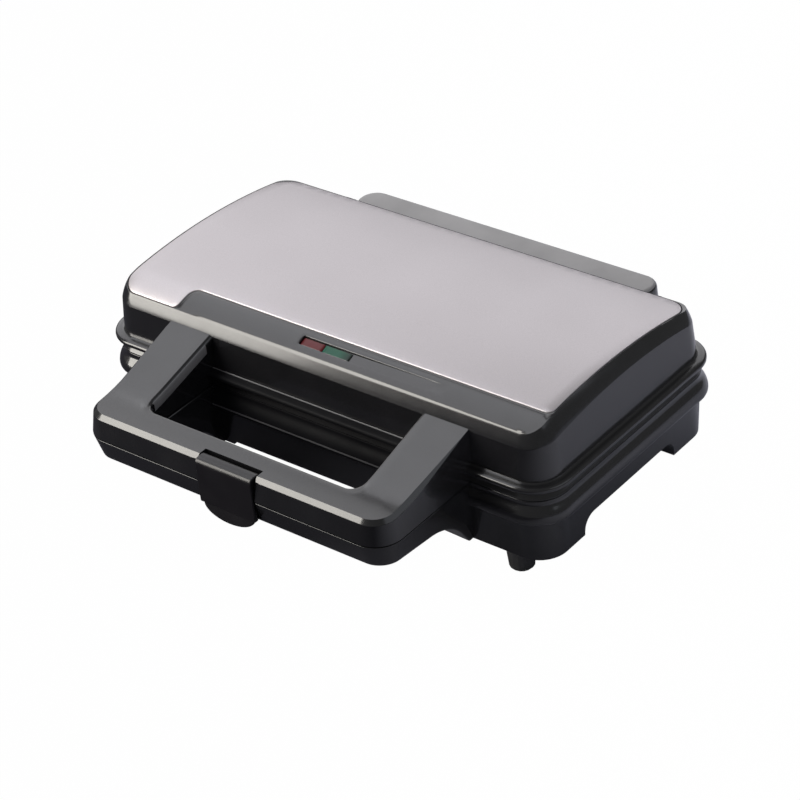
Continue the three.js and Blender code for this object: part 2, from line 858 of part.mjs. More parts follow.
// Half of the handle as a shell that is open at the seam, with a ledge for its inner cover.
function upperGrip() {
  const outer = loftRings([
    gripRing(0, lidFoot),
    gripRing(gripTopInset - gripChamfer, (y) => gripTop(y) - gripChamfer),
    gripRing(gripTopInset, gripTop),
  ]);
  const hollow = loftRings([
    gripRing(gripWall + coverLedge, 0),
    gripRing(gripWall + gripTopInset, (y) => gripTop(y) - gripWall),
  ]);
  return { outer, hollow };
}

function lowerGrip() {
  const outer = loftRings([
    gripRing(gripBottomInset + gripBottomRound, gripBottom),
    gripRing(gripBottomInset, (y) => gripBottom(y) + gripBottomRound),
    gripRing(0, baseTop),
  ]);
  const hollow = loftRings([
    gripRing(gripWall + gripBottomInset, (y) => gripBottom(y) + gripWall),
    gripRing(gripWall + coverLedge, crownHeight),
  ]);
  return { outer, hollow };
}

// Where the handle's inner covers lie: a band round the finger opening, clear of the body's wall.
const gripHollowBack = gripWall + coverLedge;

function handleCoverPlan(inset, low, high) {
  const band = loftRings([gripRing(inset, low), gripRing(inset, high)]);
  const limit = box(-bodyWidth, bodyWidth, -bodyWidth, -gripHollowBack + gripWall - inset, low, high);
  const half = clipRecessHalf + inset;
  const recess = box(-half, half, -bodyWidth, inset - clipRecessBack, low, high);
  return cutAll(band.intersect(limit), [openingCutter(inset), recess]);
}

function handleBosses(low, high) {
  return [-1, 1].map((side) => {
    return barZ(handleBossRadius, low, high, side * handleScrewX, -handleScrewY);
  });
}

function handleScrewHoles(radius, low, high) {
  return [-1, 1].map((side) => barZ(radius, low, high, side * handleScrewX, -handleScrewY));
}

// The hollow is kept off the body's wall, the opening's walls and the clip's recess.
function gripHollow(hollow) {
  const limit = box(-bodyWidth, bodyWidth, -bodyWidth, -gripHollowBack, 0, crownHeight);
  const inner = hollow.intersect(limit);
  return cutAll(inner, [openingCutter(gripWall + coverLedge), clipRecess(gripWall + clipHookReach)]);
}

const coverSeatDepth = handleCoverThickness + fitGap;
const pilotRadius = screwShankRadius + fitGap;

// Lugs on the front and back walls that the plate's screws pull against.
const lugOuterLevel = plateRimDrop + plateRimThickness + plateBossDepth + fitGap;

function plateLugs(direction, wallInset) {
  const near = seamHeight + direction * lugOuterLevel;
  const far = near + direction * plateLugThickness;
  const [low, high] = [near, far].sort((a, b) => a - b);
  const reach = plateScrewSetback + plateBossRadius + screwHeadRadius / 2;
  return [
    box(-plateLugHalfWidth, plateLugHalfWidth, wallInset - shellWall / 2, reach, low, high),
    box(
      -plateLugHalfWidth,
      plateLugHalfWidth,
      bodyDepth - reach,
      bodyDepth - wallInset + shellWall / 2,
      low,
      high,
    ),
  ];
}

function plateScrewHoles(radius, low, high) {
  return [plateScrewSetback, bodyDepth - plateScrewSetback].map((y) => barZ(radius, low, high, 0, y));
}

function makeLidHousing() {
  const grip = upperGrip();
  const gripShell = grip.outer.subtract(openingCutter(0));
  const hollows = [...plateSeatCutters(1), lidHollow(), panelRecess(), gripHollow(grip.hollow)];
  hollows.push(handleCoverPlan(gripWall, lidFoot - overrun, lidFoot + coverSeatDepth));
  const shell = cutAll(lidOuter().add(gripShell), hollows);
  const bosses = handleBosses(lidFoot + coverSeatDepth, gripTop(-handleScrewY) - gripWall / 2);
  const added = [...hingeEars(), ...bosses, ...plateLugs(1, lidWallInset + shellWall), ...lampPosts()];
  const whole = joinAll([shell, ...added]);
  const pilots = handleScrewHoles(pilotRadius, seamHeight, lidFoot + coverSeatDepth + screwBite + fitGap);
  const bearing = clipHalf + clipPinBearing + fitGap;
  return cutAll(whole, [
    hingeBores(hingePinRadius + pinClearance),
    lampScoop(),
    lensWindow(),
    clipRecess(0),
    barX(clipPinRadius + pinClearance, -bearing, bearing, -clipPinSetback, clipPinHeight),
    ...pilots,
    ...plateScrewHoles(pilotRadius, seamHeight, seamHeight + lugOuterLevel + plateLugThickness + fitGap),
  ]);
}

// Base shell from the skirt up to the flange.
function baseOuter() {
  const rings = [
    bodyRing(skirtInset, skirtHeight),
    bodyRing(baseWallInset, ledgeHeight - ledgeThickness),
    bodyRing(baseWallInset - ledgeReach, ledgeHeight - ledgeThickness / 2),
  ];
  return loftRings([...rings, ...[...seamRings(-1), ...lipRings()].reverse()]);
}

// The low relief in the skirt's front edge between the arms of the handle.
function frontRelief() {
  const half = openingHalfWidth - reliefInset;
  const outline = roundedOutline([
    [-half, -overrun, fitGap],
    [half, -overrun, fitGap],
    [half, skirtHeight + reliefRise, reliefCorner],
    [-half, skirtHeight + reliefRise, reliefCorner],
  ]);
  const depth = skirtInset + shellWall + bond + overrun;
  const geometry = new THREE.ExtrudeGeometry(outline, { depth, bevelEnabled: false });
  return solidOf(geometry.rotateX(quarterTurn).translate(0, depth - overrun, 0));
}

// Hollow of the base: wide above the cover's brim, and inside the legs below it.
const upperFloor = coverSeatHeight - coverThickness - 2 * fitGap;

function baseHollow() {
  const ledgeUnder = seamHeight - plateSeatDrop - plateLedgeThickness;
  const wall = baseNeckInset + shellWall;
  const upper = loftRings([bodyRing(wall, upperFloor), bodyRing(wall, ledgeUnder)]);
  const front = skirtInset + shellWall;
  const lower = roundedBlock(legInner, front, bodyDepth - front, archCorner, 0, upperFloor + fitGap);
  return [upper, lower];
}

// The arched gap in the skirt on each side.
function sideArches() {
  const opening = roundedOutline([
    [archFront, -overrun, fitGap],
    [archBack, -overrun, fitGap],
    [archBack, archTopHeight, archCorner],
    [archFront, archTopHeight, archCorner],
  ]);
  const inner = legInner - overrun;
  return [
    crosswise(opening, inner, halfWidth + overrun),
    crosswise(opening, -halfWidth - overrun, -inner),
  ];
}

// Pockets that lighten the four legs from below.
function legCores() {
  const inner = legInner + legCoreWall;
  const outer = halfWidth - skirtInset - legCoreWall;
  const cores = [];
  for (const side of [-1, 1]) {
    const [left, right] = [side * inner, side * outer].sort((a, b) => a - b);
    const frontStart = skirtInset + bodyCornerRadius;
    const backEnd = bodyDepth - skirtInset - bodyCornerRadius;
    const roof = skirtHeight + legCoreDepth;
    cores.push(box(left, right, frontStart, archFront - legCoreWall, 0, roof));
    cores.push(box(left, right, archBack + legCoreWall, backEnd, 0, roof));
  }
  return cores;
}

function blockRing(inset, front, height) {
  const share = (blockTop - height) / (blockTop - skirtHeight);
  const half = blockHalfWidth + blockDraft * share - inset;
  const back = blockBack + blockDraft * share - inset;
  const depth = back - front;
  const radius = Math.min(blockCorner, depth / 2 - fitGap) - inset / 2;
  return planRing(half, front, back, radius, height);
}

function hingeBlockOuter() {
  const rootFront = bodyDepth - bodyCornerRadius;
  const lower = loftRings([blockRing(0, rootFront, skirtHeight), blockRing(0, rootFront, baseTop)]);
  const upper = loftRings([
    blockRing(0, blockFront, baseTop - overrun),
    blockRing(0, blockFront, blockTop - blockRound),
    blockRing(blockRound / 3, blockFront + blockRound / 3, blockTop - blockRound / 3),
    blockRing(blockRound, blockFront + blockRound, blockTop),
  ]);
  return lower.add(upper);
}

// The chamber in the hinge block, open below for the cover's tongue and forward into the base.
const chamberFront = blockFront + shellWall;
const chamberBack = blockBack - shellWall;

function blockHollow() {
  const half = blockHalfWidth - shellWall;
  const tall = box(-half, half, chamberFront, chamberBack, coverSeatHeight - fitGap, blockTop - shellWall);
  const mouthFront = bodyDepth - bodyCornerRadius;
  const mouth = box(-chamberHalfWidth, chamberHalfWidth, mouthFront, chamberBack, 0, coverSeatHeight);
  const passage = box(
    -chamberHalfWidth,
    chamberHalfWidth,
    mouthFront,
    chamberBack,
    coverSeatHeight - fitGap,
    ledgeHeight,
  );
  return [tall, mouth, passage];
}

// Bosses inside the hinge block that carry the pins.
function hingePinBosses() {
  const inner = blockHalfWidth - hingePinLength;
  const outer = blockHalfWidth - shellWall / 2;
  const front = chamberFront - bond;
  const back = hingeSetback + earRadius;
  const low = hingeHeight - earRadius;
  const high = blockTop - shellWall + bond;
  return [
    box(inner, outer, front, back, low, high),
    box(-outer, -inner, front, back, low, high),
  ];
}

function hingePinBores() {
  const inner = blockHalfWidth - hingePinLength + fitGap;
  const outer = earOuter + overrun;
  const radius = hingePinRadius + pinClearance;
  return [
    barX(radius, inner, outer, hingeSetback, hingeHeight, roundSides),
    barX(radius, -outer, -inner, hingeSetback, hingeHeight, roundSides),
  ];
}

// Lugs that take the bottom cover's screws.
const coverScrewPlaces = [-1, 1].flatMap((side) => {
  return [coverLugFront, coverLugBack].map((y) => [side * coverLugX, y]);
});

function coverLugs() {
  const outer = halfWidth - skirtInset - shellWall / 2;
  const top = coverSeatHeight + coverLugThickness;
  return coverScrewPlaces.map(([x, y]) => {
    const side = Math.sign(x);
    const ends = [side * (coverLugX - coverLugHalfWidth), side * outer].sort((a, b) => a - b);
    return box(ends[0], ends[1], y - coverLugHalfWidth, y + coverLugHalfWidth, coverSeatHeight, top);
  });
}

function coverScrewHoles(radius, low, high) {
  return coverScrewPlaces.map(([x, y]) => barZ(radius, low, high, x, y));
}

// The four feet stand under two bosses behind the front skirt and the two ends of the hinge block.
const footPlaces = {
  front_left_foot: [-footX, footSetback],
  front_right_foot: [footX, footSetback],
  rear_left_foot: [-rearFootX, rearFootSetback],
  rear_right_foot: [rearFootX, rearFootSetback],
};

function footBosses() {
  return ["front_left_foot", "front_right_foot"].map((name) => {
    const [x, y] = footPlaces[name];
    return barZ(footBossRadius, skirtHeight, upperFloor, x, y, roundSides);
  });
}

function footSockets() {
  return Object.values(footPlaces).map(([x, y]) => {
    const top = skirtHeight + footSpigotHeight + fitGap;
    return barZ(footSpigotRadius + fitGap, 0, top, x, y, roundSides);
  });
}

// The groove that the clip's hook sits in, open at the seam.
function catchGroove() {
  const half = clipHookWidth / 2 + looseGap;
  const back = -clipFace + clipThickness + clipHookReach + looseGap;
  const low = clipHookHeight - clipHookThickness;
  return box(-half, half, -gripFront - overrun, back, low, seamHeight + overrun);
}

function makeBaseHousing() {
  const grip = lowerGrip();
  const gripShell = grip.outer.subtract(openingCutter(0));
  const hollows = [...baseHollow(), ...plateSeatCutters(-1), ...blockHollow(), ...sideArches()];
  hollows.push(...legCores(), frontRelief(), gripHollow(grip.hollow));
  hollows.push(handleCoverPlan(gripWall, baseTop - coverSeatDepth, baseTop + overrun));
  const shell = cutAll(joinAll([baseOuter(), hingeBlockOuter(), gripShell]), hollows);
  const bosses = handleBosses(gripBottom(-handleScrewY) + gripWall / 2, baseTop - coverSeatDepth);
  const added = [...bosses, ...plateLugs(-1, skirtInset + shellWall), ...hingePinBosses(), ...coverLugs()];
  const whole = joinAll([shell, ...added, ...footBosses()]);
  const pilots = handleScrewHoles(pilotRadius, baseTop - coverSeatDepth - screwBite - fitGap, seamHeight);
  return cutAll(whole, [
    ...hingePinBores(),
    ...footSockets(),
    ...pilots,
    ...plateScrewHoles(pilotRadius, skirtHeight, seamHeight),
    ...coverScrewHoles(pilotRadius, skirtHeight, coverSeatHeight + coverLugThickness + overrun / 2),
    clipRecess(0),
    catchGroove(),
    barY(glandBody + fitGap, chamberBack - overrun, blockBack + overrun, glandX, glandHeight, roundSides),
  ]);
}

// Inner cover that closes the base half of the handle at the seam; the lid half's is turned over.
function makeHandleCover() {
  const low = baseTop - handleCoverThickness;
  const plate = handleCoverPlan(gripWall + fitGap, low, baseTop);
  const sunk = screwHeadHeight + 2 * fitGap;
  return cutAll(plate, [
    ...handleScrewHoles(pilotRadius, low - overrun, baseTop),
    ...handleScrewHoles(screwHeadRadius + fitGap, baseTop - sunk, baseTop + overrun),
  ]);
}

// Latch clip: barrel, face plate, thumb tab and the hook that sits in the base half's groove.
function makeLatchClip() {
  const face = -clipFace;
  const inner = face + clipThickness;
  const barrelY = -clipPinSetback;
  const side = new THREE.Shape();
  side.moveTo(inner, clipBottomHeight);
  side.lineTo(face, clipBottomHeight);
  side.lineTo(face, clipPinHeight - fitGap);
  side.quadraticCurveTo(face, clipPinHeight + clipBarrelRadius, barrelY, clipPinHeight + clipBarrelRadius);
  side.absarc(barrelY, clipPinHeight, clipBarrelRadius, quarterTurn, -quarterTurn, true);
  side.lineTo(inner, clipPinHeight - clipBarrelRadius - clipThickness);
  side.closePath();
  const plate = crosswise(side, -clipHalf, clipHalf);
  const tabShape = new THREE.Shape();
  tabShape.absellipse(0, 0, clipTabWidth / 2, clipTabDepth, Math.PI, 2 * Math.PI, false);
  tabShape.lineTo(clipTabWidth / 2, clipThickness);
  tabShape.lineTo(-clipTabWidth / 2, clipThickness);
  const tabGeometry = new THREE.ExtrudeGeometry(tabShape, { depth: clipTabThickness, bevelEnabled: false });
  tabGeometry.rotateX(quarterTurn - clipTabTilt).translate(0, inner, clipBottomHeight);
  const hookTop = clipHookHeight + clipHookThickness;
  const hook = crosswise(
    polygonShape([
      [inner - clipThickness / 2, clipHookHeight - clipHookThickness / 2],
      [inner + clipHookReach, clipHookHeight],
      [inner + clipHookReach, hookTop],
      [inner - clipThickness / 2, hookTop],
    ]),
    -clipHookWidth / 2,
    clipHookWidth / 2,
  );
  const bore = barX(clipPinRadius + pinClearance, -clipWidth, clipWidth, barrelY, clipPinHeight);
  return joinAll([plate, solidOf(tabGeometry), hook]).subtract(bore);
}

// Cooking plate. Each pocket for a slice is parted by a diagonal ridge into two three-cornered wells.
const plateTop = seamHeight - plateRimDrop;
const plateUnder = plateTop - plateRimThickness;
const pocketInner = pocketGap / 2;
const pocketOuter = halfWidth - plateInset - pocketMargin;
const pocketFront = plateInset + pocketMargin;
const pocketBack = bodyDepth - plateInset - pocketMargin;

// Corners of the two wells of one pocket, anticlockwise seen from above; the diagonal runs from the
// inner front corner to the outer back corner.
function wellTriangles(side) {
  const size = Math.hypot(pocketOuter - pocketInner, pocketBack - pocketFront);
  const shiftX = (diagonalRidge / 2) * (size / (pocketBack - pocketFront));
  const shiftY = (diagonalRidge / 2) * (size / (pocketOuter - pocketInner));
  const front = [
    [pocketInner + shiftX, pocketFront],
    [pocketOuter, pocketFront],
    [pocketOuter, pocketBack - shiftY],
  ];
  const back = [
    [pocketInner, pocketFront + shiftY],
    [pocketOuter - shiftX, pocketBack],
    [pocketInner, pocketBack],
  ];
  if (side > 0) return [front, back];
  return [front, back].map((triangle) => triangle.map(([x, y]) => [-x, y]).reverse());
}

// A rounded triangle drawn in by an inset, as a ring at one height.
function triangleRing(triangle, inset, height) {
  const [a, b, c] = triangle.map(([x, y]) => new THREE.Vector2(x, y));
  const [la, lb, lc] = [b.distanceTo(c), c.distanceTo(a), a.distanceTo(b)];
  const around = la + lb + lc;
  const centre = new THREE.Vector2(
    (la * a.x + lb * b.x + lc * c.x) / around,
    (la * a.y + lb * b.y + lc * c.y) / around,
  );
  const area = Math.abs((b.x - a.x) * (c.y - a.y) - (c.x - a.x) * (b.y - a.y)) / 2;
  const inradius = (2 * area) / around;
  const shrink = 1 - inset / inradius;
  const radius = wellCorner * shrink;
  const corners = [a, b, c].map((p) => {
    const moved = p.clone().sub(centre).multiplyScalar(shrink).add(centre);
    return [moved.x, moved.y, radius];
  });
  const outline = roundedOutline(corners, wellCornerSteps).getPoints();
  outline.pop();
  return outline.map((p) => new THREE.Vector3(p.x, p.y, height));
}

// What a well takes out of the plate.
function wellCutter(triangle) {
  const rings = wellInsetShares.map((share, i) => {
    return triangleRing(triangle, wellFloorInset * share, plateTop - wellDepth * wellDepthShares[i]);
  });
  return loftConvex([...rings.reverse(), triangleRing(triangle, 0, plateTop + overrun)]);
}

// The plainer outside of a well, a wall's thickness away from its inside.
function wellShell(triangle) {
  const rings = wellShellShares.map((share, i) => {
    const depth = (wellDepth + wellWall) * wellShellDepthShares[i];
    return triangleRing(triangle, wellFloorInset * share - wellWall, plateTop - depth);
  });
  return loftConvex(rings.reverse());
}

// The raised sealing edge round a well.
function wellRidge(triangle) {
  return loftConvex([
    triangleRing(triangle, -ridgeWidth, plateTop - ridgeHeight),
    triangleRing(triangle, -ridgeWidth, plateTop + ridgeHeight / 2),
    triangleRing(triangle, -ridgeWidth + ridgeHeight / 2, plateTop + ridgeHeight),
  ]);
}

// Low ribs that fan out over a well's floor from its square corner.
function wellRibs(triangle) {
  const points = triangle.map(([x, y]) => new THREE.Vector2(x, y));
  const square = points.reduce((best, p) => {
    const others = points.filter((q) => q !== p);
    const turn = Math.abs(others[0].clone().sub(p).normalize().dot(others[1].clone().sub(p).normalize()));
    return best && best.turn < turn ? best : { p, others, turn };
  }, null);
  const start = square.others[0].clone().sub(square.p);
  const end = square.others[1].clone().sub(square.p);
  const floor = plateTop - wellDepth;
  const ribs = [];
  for (let i = 0; i < ribCount; i++) {
    const share = (i + 1) / (ribCount + 1);
    const target = start.clone().lerp(end, share);
    const direction = target.clone().normalize();
    const from = square.p.clone().addScaledVector(direction, 2 * wellFloorInset);
    const to = from.clone().addScaledVector(direction, target.length() * ribLengthShare - wellFloorInset);
    const across = new THREE.Vector2(-direction.y, direction.x).multiplyScalar(ribHalfWidth);
    const low = [from.clone().sub(across), to.clone().sub(across), to.clone().add(across)];
    low.push(from.clone().add(across));
    const crest = [
      from.clone().addScaledVector(direction, ribHeight),
      to.clone().addScaledVector(direction, -ribHeight),
    ];
    const foot = floor - wellWall / 2;
    const positions = [...low.map((p) => [p.x, p.y, foot]), ...low.map((p) => [p.x, p.y, floor])];
    positions.push(...crest.map((p) => [p.x, p.y, floor + ribHeight]));
    const geometry = new THREE.BufferGeometry();
    geometry.setAttribute("position", new THREE.Float32BufferAttribute(positions.flat(), 3));
    geometry.setIndex([
      0, 2, 1, 0, 3, 2, 0, 1, 5, 0, 5, 4, 1, 2, 6, 1, 6, 5, 2, 3, 7, 2, 7, 6, 3, 0, 4, 3, 4, 7,
      4, 5, 9, 4, 9, 8, 5, 6, 9, 6, 7, 8, 6, 8, 9, 7, 4, 8,
    ]);
    ribs.push(solidOf(geometry));
  }
  return ribs;
}

const shieldScrewPlaces = [-1, 1].map((side) => bodyDepth / 2 + side * shieldScrewSpread);

function makeCookingPlate() {
  const edge = bodyCornerRadius - plateInset;
  const back = bodyDepth - plateInset;
  const ring = (inset, height) => {
    return planRing(halfWidth - plateInset - inset, plateInset + inset, back - inset, edge - inset, height);
  };
  const rim = loftRings([
    ring(0, plateUnder),
    ring(0, plateTop - plateEdgeRound),
    ring(plateEdgeRound, plateTop),
  ]);
  const triangles = [...wellTriangles(1), ...wellTriangles(-1)];
  const heavy = joinAll([
    rim,
    ...triangles.map(wellShell),
    ...triangles.map(wellRidge),
    ...plateScrewHoles(plateBossRadius, plateUnder - plateBossDepth, plateUnder + bond),
    ...shieldScrewPlaces.map((y) => barZ(plateBossRadius, shieldTop + fitGap, plateUnder + bond, 0, y)),
  ]);
  const hollowed = cutAll(heavy, triangles.map(wellCutter));
  const ribbed = joinAll([hollowed, ...triangles.flatMap(wellRibs)]);
  return cutAll(ribbed, [
    ...plateScrewHoles(pilotRadius, 0, plateUnder + fitGap),
    ...shieldScrewPlaces.map((y) => barZ(pilotRadius, 0, shieldTop + screwBite + fitGap, 0, y)),
  ]);
}

// A round tube along a path that lies at one height.
function tubeAlong(path, radius, height) {
  const rings = path.map((point, i) => {
    const ahead = path[Math.min(i + 1, path.length - 1)].clone().sub(path[Math.max(i - 1, 0)]).normalize();
    const ring = [];
    for (let k = 0; k < tubeSides; k++) {
      const angle = (2 * Math.PI * k) / tubeSides;
      const across = radius * Math.cos(angle);
      ring.push(
        new THREE.Vector3(
          point.x - ahead.y * across,
          point.y + ahead.x * across,
          height + radius * Math.sin(angle),
        ),
      );
    }
    return ring;
  });
  return loftConvex(rings);
}

// Levels under the lower plate.
const wellUnder = plateTop - wellDepth - wellWall;
const heaterLevel = wellUnder - fitGap - heaterRadius;
const shieldTop = heaterLevel - heaterRadius - shieldClear;
const shieldUnder = shieldTop - shieldThickness;

// The heating tube: one loop under both pockets, with bead and stud at each end.
function makeHeater() {
  const front = heaterMargin;
  const back = bodyDepth - heaterMargin;
  const lead = heaterLeadGap / 2;
  const corners = [
    [-lead, back],
    [-heaterHalfWidth, back],
    [-heaterHalfWidth, front],
    [heaterHalfWidth, front],
    [heaterHalfWidth, back],
    [lead, back],
  ].map(([x, y]) => new THREE.Vector2(x, y));
  const path = [corners[0]];
  for (let i = 1; i + 1 < corners.length; i++) {
    const before = corners[i - 1].clone().sub(corners[i]).setLength(heaterCorner);
    const after = corners[i + 1].clone().sub(corners[i]).setLength(heaterCorner);
    const centre = corners[i].clone().add(before).add(after);
    for (let k = 0; k <= cornerSteps; k++) {
      const turn = (k / cornerSteps) * quarterTurn;
      const point = centre.clone().addScaledVector(after, -Math.cos(turn));
      path.push(point.addScaledVector(before, -Math.sin(turn)));
    }
  }
  path.push(corners[corners.length - 1]);
  const ends = [-1, 1].flatMap((side) => {
    const beadStart = side * (lead + bond);
    const beadEnd = side * (lead - heaterBeadLength);
    const studEnd = side * (lead - heaterBeadLength - heaterStudLength);
    const bead = [beadStart, beadEnd].sort((a, b) => a - b);
    const stud = [beadStart, studEnd].sort((a, b) => a - b);
    return [
      barX(heaterBeadRadius, bead[0], bead[1], back, heaterLevel, tubeSides),
      barX(heaterStudRadius, stud[0], stud[1], back, heaterLevel, tubeSides),
    ];
  });
  return joinAll([tubeAlong(path, heaterRadius, heaterLevel), ...ends]);
}

// Pressed tray that throws the heat back and presses the tube against the plate.
function makeHeatShield() {
  const back = bodyDepth - shieldMargin;
  const ring = (inset, height) => {
    const half = shieldHalfWidth - inset;
    return planRing(half, shieldMargin + inset, back - inset, shieldCorner - inset, height);
  };
  const outer = loftRings([ring(shieldLip, shieldUnder), ring(0, shieldTop + shieldLip)]);
  const inner = loftRings([
    ring(shieldLip + shieldThickness, shieldTop),
    ring(shieldThickness, shieldTop + shieldLip + shieldThickness),
  ]);
  const holes = shieldScrewPlaces.map((y) => barZ(pilotRadius, 0, seamHeight, 0, y));
  return cutAll(outer, [inner, ...holes]);
}

// The two controls lie inside the loop of the heating tube, under the front wells.
const controlSetback = THREE.MathUtils.lerp(pocketFront, pocketBack, controlShare);
const tubeInner = heaterHalfWidth - heaterRadius;

function makeThermostat() {
  const thermostatX = thermostatClear + thermostatRadius - tubeInner;
  const top = wellUnder - fitGap;
  const bottom = shieldTop + fitGap;
  const cap = barZ(thermostatRadius, top - thermostatStep, top, thermostatX, controlSetback, roundSides);
  const core = thermostatRadius - bond;
  const body = barZ(core, bottom, top - thermostatStep / 2, thermostatX, controlSetback, roundSides);
  return cap.add(body);
}

function makeThermalFuse() {
  const level = wellUnder - fitGap - fuseRadius;
  const half = fuseLength / 2;
  const reach = half + fuseLeadLength;
  const fuseX = tubeInner - reach - fuseClear;
  const can = barX(fuseRadius, fuseX - half, fuseX + half, controlSetback, level);
  const leads = barX(fuseLeadRadius, fuseX - reach, fuseX + reach, controlSetback, level, tubeSides);
  return can.add(leads);
}

// Bottom cover: a brim above the skirt's arches, a dished middle with vents, and a tongue under the
// hinge block.
const coverTop = coverSeatHeight - fitGap;
const coverUnder = coverTop - coverThickness;

function makeBottomCover() {
  const dishBack = bodyDepth - dishBackInset;
  const dishRing = (inset, height) => {
    return planRing(dishHalfWidth - inset, dishFront + inset, dishBack - inset, dishCorner - inset, height);
  };
  const tongueFront = bodyDepth - bodyCornerRadius + looseGap;
  const tongueBack = chamberBack - looseGap;
  const tongueHalf = chamberHalfWidth - looseGap;
  const plates = joinAll([
    loftRings([bodyRing(coverInset, coverUnder), bodyRing(coverInset, coverTop)]),
    box(-tongueHalf, tongueHalf, tongueFront, tongueBack, coverUnder, coverTop),
    loftRings([dishRing(dishDraft, dishFloor), dishRing(0, coverUnder + bond)]),
  ]);
  const hollow = loftRings([
    dishRing(dishDraft + coverThickness, dishFloor + coverThickness),
    dishRing(coverThickness, coverTop + overrun),
  ]);
  const vents = [];
  for (let i = 0; i < ventCount; i++) {
    const x = (i - (ventCount - 1) / 2) * ventPitch;
    const half = ventWidth / 2;
    const middle = bodyDepth / 2;
    vents.push(box(x - half, x + half, middle - ventLength / 2, middle + ventLength / 2, 0, seamHeight));
  }
  return cutAll(plates, [hollow, ...vents, ...coverScrewHoles(pilotRadius, 0, seamHeight)]);
}

// Rubber foot with the spigot that is pressed into its socket.
function makeFoot() {
  const shoulder = skirtHeight - fitGap;
  return turned(
    [
      [0, 0],
      [footBottomRadius - footEdgeRound, 0],
      [footBottomRadius, footEdgeRound],
      [footTopRadius, shoulder],
      [footSpigotRadius, shoulder],
      [footSpigotRadius, shoulder + footSpigotHeight],
      [0, shoulder + footSpigotHeight],
    ],
    roundSides,
  );
}

// Shouldered pin: its head lies outside the ear and its shank in the hinge block.
function makeHingePin(side) {
  const inner = blockHalfWidth - hingePinLength + 2 * fitGap;
  const outer = earOuter + fitGap;
  const shank = [side * inner, side * (outer + hingePinHeadLength / 2)].sort((a, b) => a - b);
  const head = [side * outer, side * (outer + hingePinHeadLength)].sort((a, b) => a - b);
  return barX(hingePinRadius, shank[0], shank[1], hingeSetback, hingeHeight, roundSides).add(
    barX(hingePinHead, head[0], head[1], hingeSetback, hingeHeight),
  );
}

function makeLatchPin() {
  const reach = clipHalf + clipPinBearing;
  return barX(clipPinRadius, -reach, reach, -clipPinSetback, clipPinHeight);
}

// Bushing in the hinge block's back wall, where a mains lead comes in.
function makeCordGland() {
  const share = (blockTop - glandHeight) / (blockTop - skirtHeight);
  const wallFace = blockBack + blockDraft * share;
  const front = chamberBack - fitGap - glandFlangeThickness;
  const gland = joinAll([
    barY(glandBody, front, wallFace + glandFlangeThickness, glandX, glandHeight, roundSides),
    barY(glandFlange, wallFace + looseGap, wallFace + looseGap + glandFlangeThickness, glandX, glandHeight),
    barY(glandFlange, front, front + glandFlangeThickness, glandX, glandHeight),
  ]);
  return gland.subtract(barY(glandBore, 0, 2 * bodyDepth, glandX, glandHeight, roundSides));
}

function makeTerminalBlock() {
  const back = chamberBack - fitGap;
  const front = back - terminalDepth;
  const left = terminalX - terminalLength / 2;
  const right = terminalX + terminalLength / 2;
  const block = box(left, right, front, back, terminalBase, terminalBase + terminalHeight);
  const holes = [-1, 0, 1].map((step) => {
    const x = terminalX + step * terminalPitch;
    const level = terminalBase + terminalHeight / 2;
    return barY(terminalHole, front - overrun, back - shellWall, x, level, tubeSides);
  });
  return cutAll(block, holes);
}

// A slotted screw with its head at the origin and its shank pointing down.
function makeScrew(length) {
  const body = turned(
    [
      [0, -length - screwShankRadius],
      [screwShankRadius, -length],
      [screwShankRadius, 0],
      [screwHeadRadius, 0],
      [screwHeadRadius - screwSlotDepth, screwHeadHeight],
      [0, screwHeadHeight],
    ],
    tubeSides,
  );
  const half = screwSlotWidth / 2;
  const floor = screwHeadHeight - screwSlotDepth;
  return body.subtract(box(-overrun, overrun, -half, half, floor, screwHeadHeight + overrun));
}

// Assembly
const sandwichMaker = new THREE.Group();
const baseGroup = new THREE.Group();
const lidGroup = new THREE.Group();
const turnedGroup = new THREE.Group();
sandwichMaker.add(baseGroup, lidGroup);
lidGroup.add(turnedGroup);

function addPiece(group, name, solid, material) {
  const mesh = new THREE.Mesh(geometryOf(solid), material);
  mesh.name = name;
  group.add(mesh);
  return mesh;
}

// The pieces that the base and the lid share; in the lid they are turned over.
function addSharedPieces(group, prefix) {
  addPiece(group, `${prefix}_cooking_plate`, makeCookingPlate(), castPlate);
  addPiece(group, `${prefix}_heating_element`, makeHeater(), heaterSteel);
  addPiece(group, `${prefix}_heat_shield`, makeHeatShield(), shieldSteel);
  const lugLevel = seamHeight - lugOuterLevel - plateLugThickness;
  const places = [plateScrewSetback, bodyDepth - plateScrewSetback];
  ["front", "rear"].forEach((name, i) => {
    const solid = makeScrew(plateScrewLength);
    const screw = addPiece(group, `${prefix}_plate_screw_${name}`, solid, brightSteel);
    screw.rotation.x = Math.PI;
    screw.position.set(0, places[i], lugLevel - fitGap);
  });
  ["front", "rear"].forEach((name, i) => {
    const screw = addPiece(group, `${prefix}_shield_screw_${name}`, makeScrew(screwBite), brightSteel);
    screw.rotation.x = Math.PI;
    screw.position.set(0, shieldScrewPlaces[i], shieldUnder - fitGap);
  });
  addPiece(group, `${prefix}_handle_cover`, makeHandleCover(), matteBlack);
  ["left", "right"].forEach((name, i) => {
    const screw = addPiece(group, `${prefix}_handle_screw_${name}`, makeScrew(screwBite), brightSteel);
    screw.position.set((2 * i - 1) * handleScrewX, -handleScrewY, baseTop - screwHeadHeight - fitGap);
  });
}

addSharedPieces(baseGroup, "lower");
addSharedPieces(turnedGroup, "upper");
turnedGroup.rotation.y = Math.PI;
turnedGroup.position.z = 2 * seamHeight;

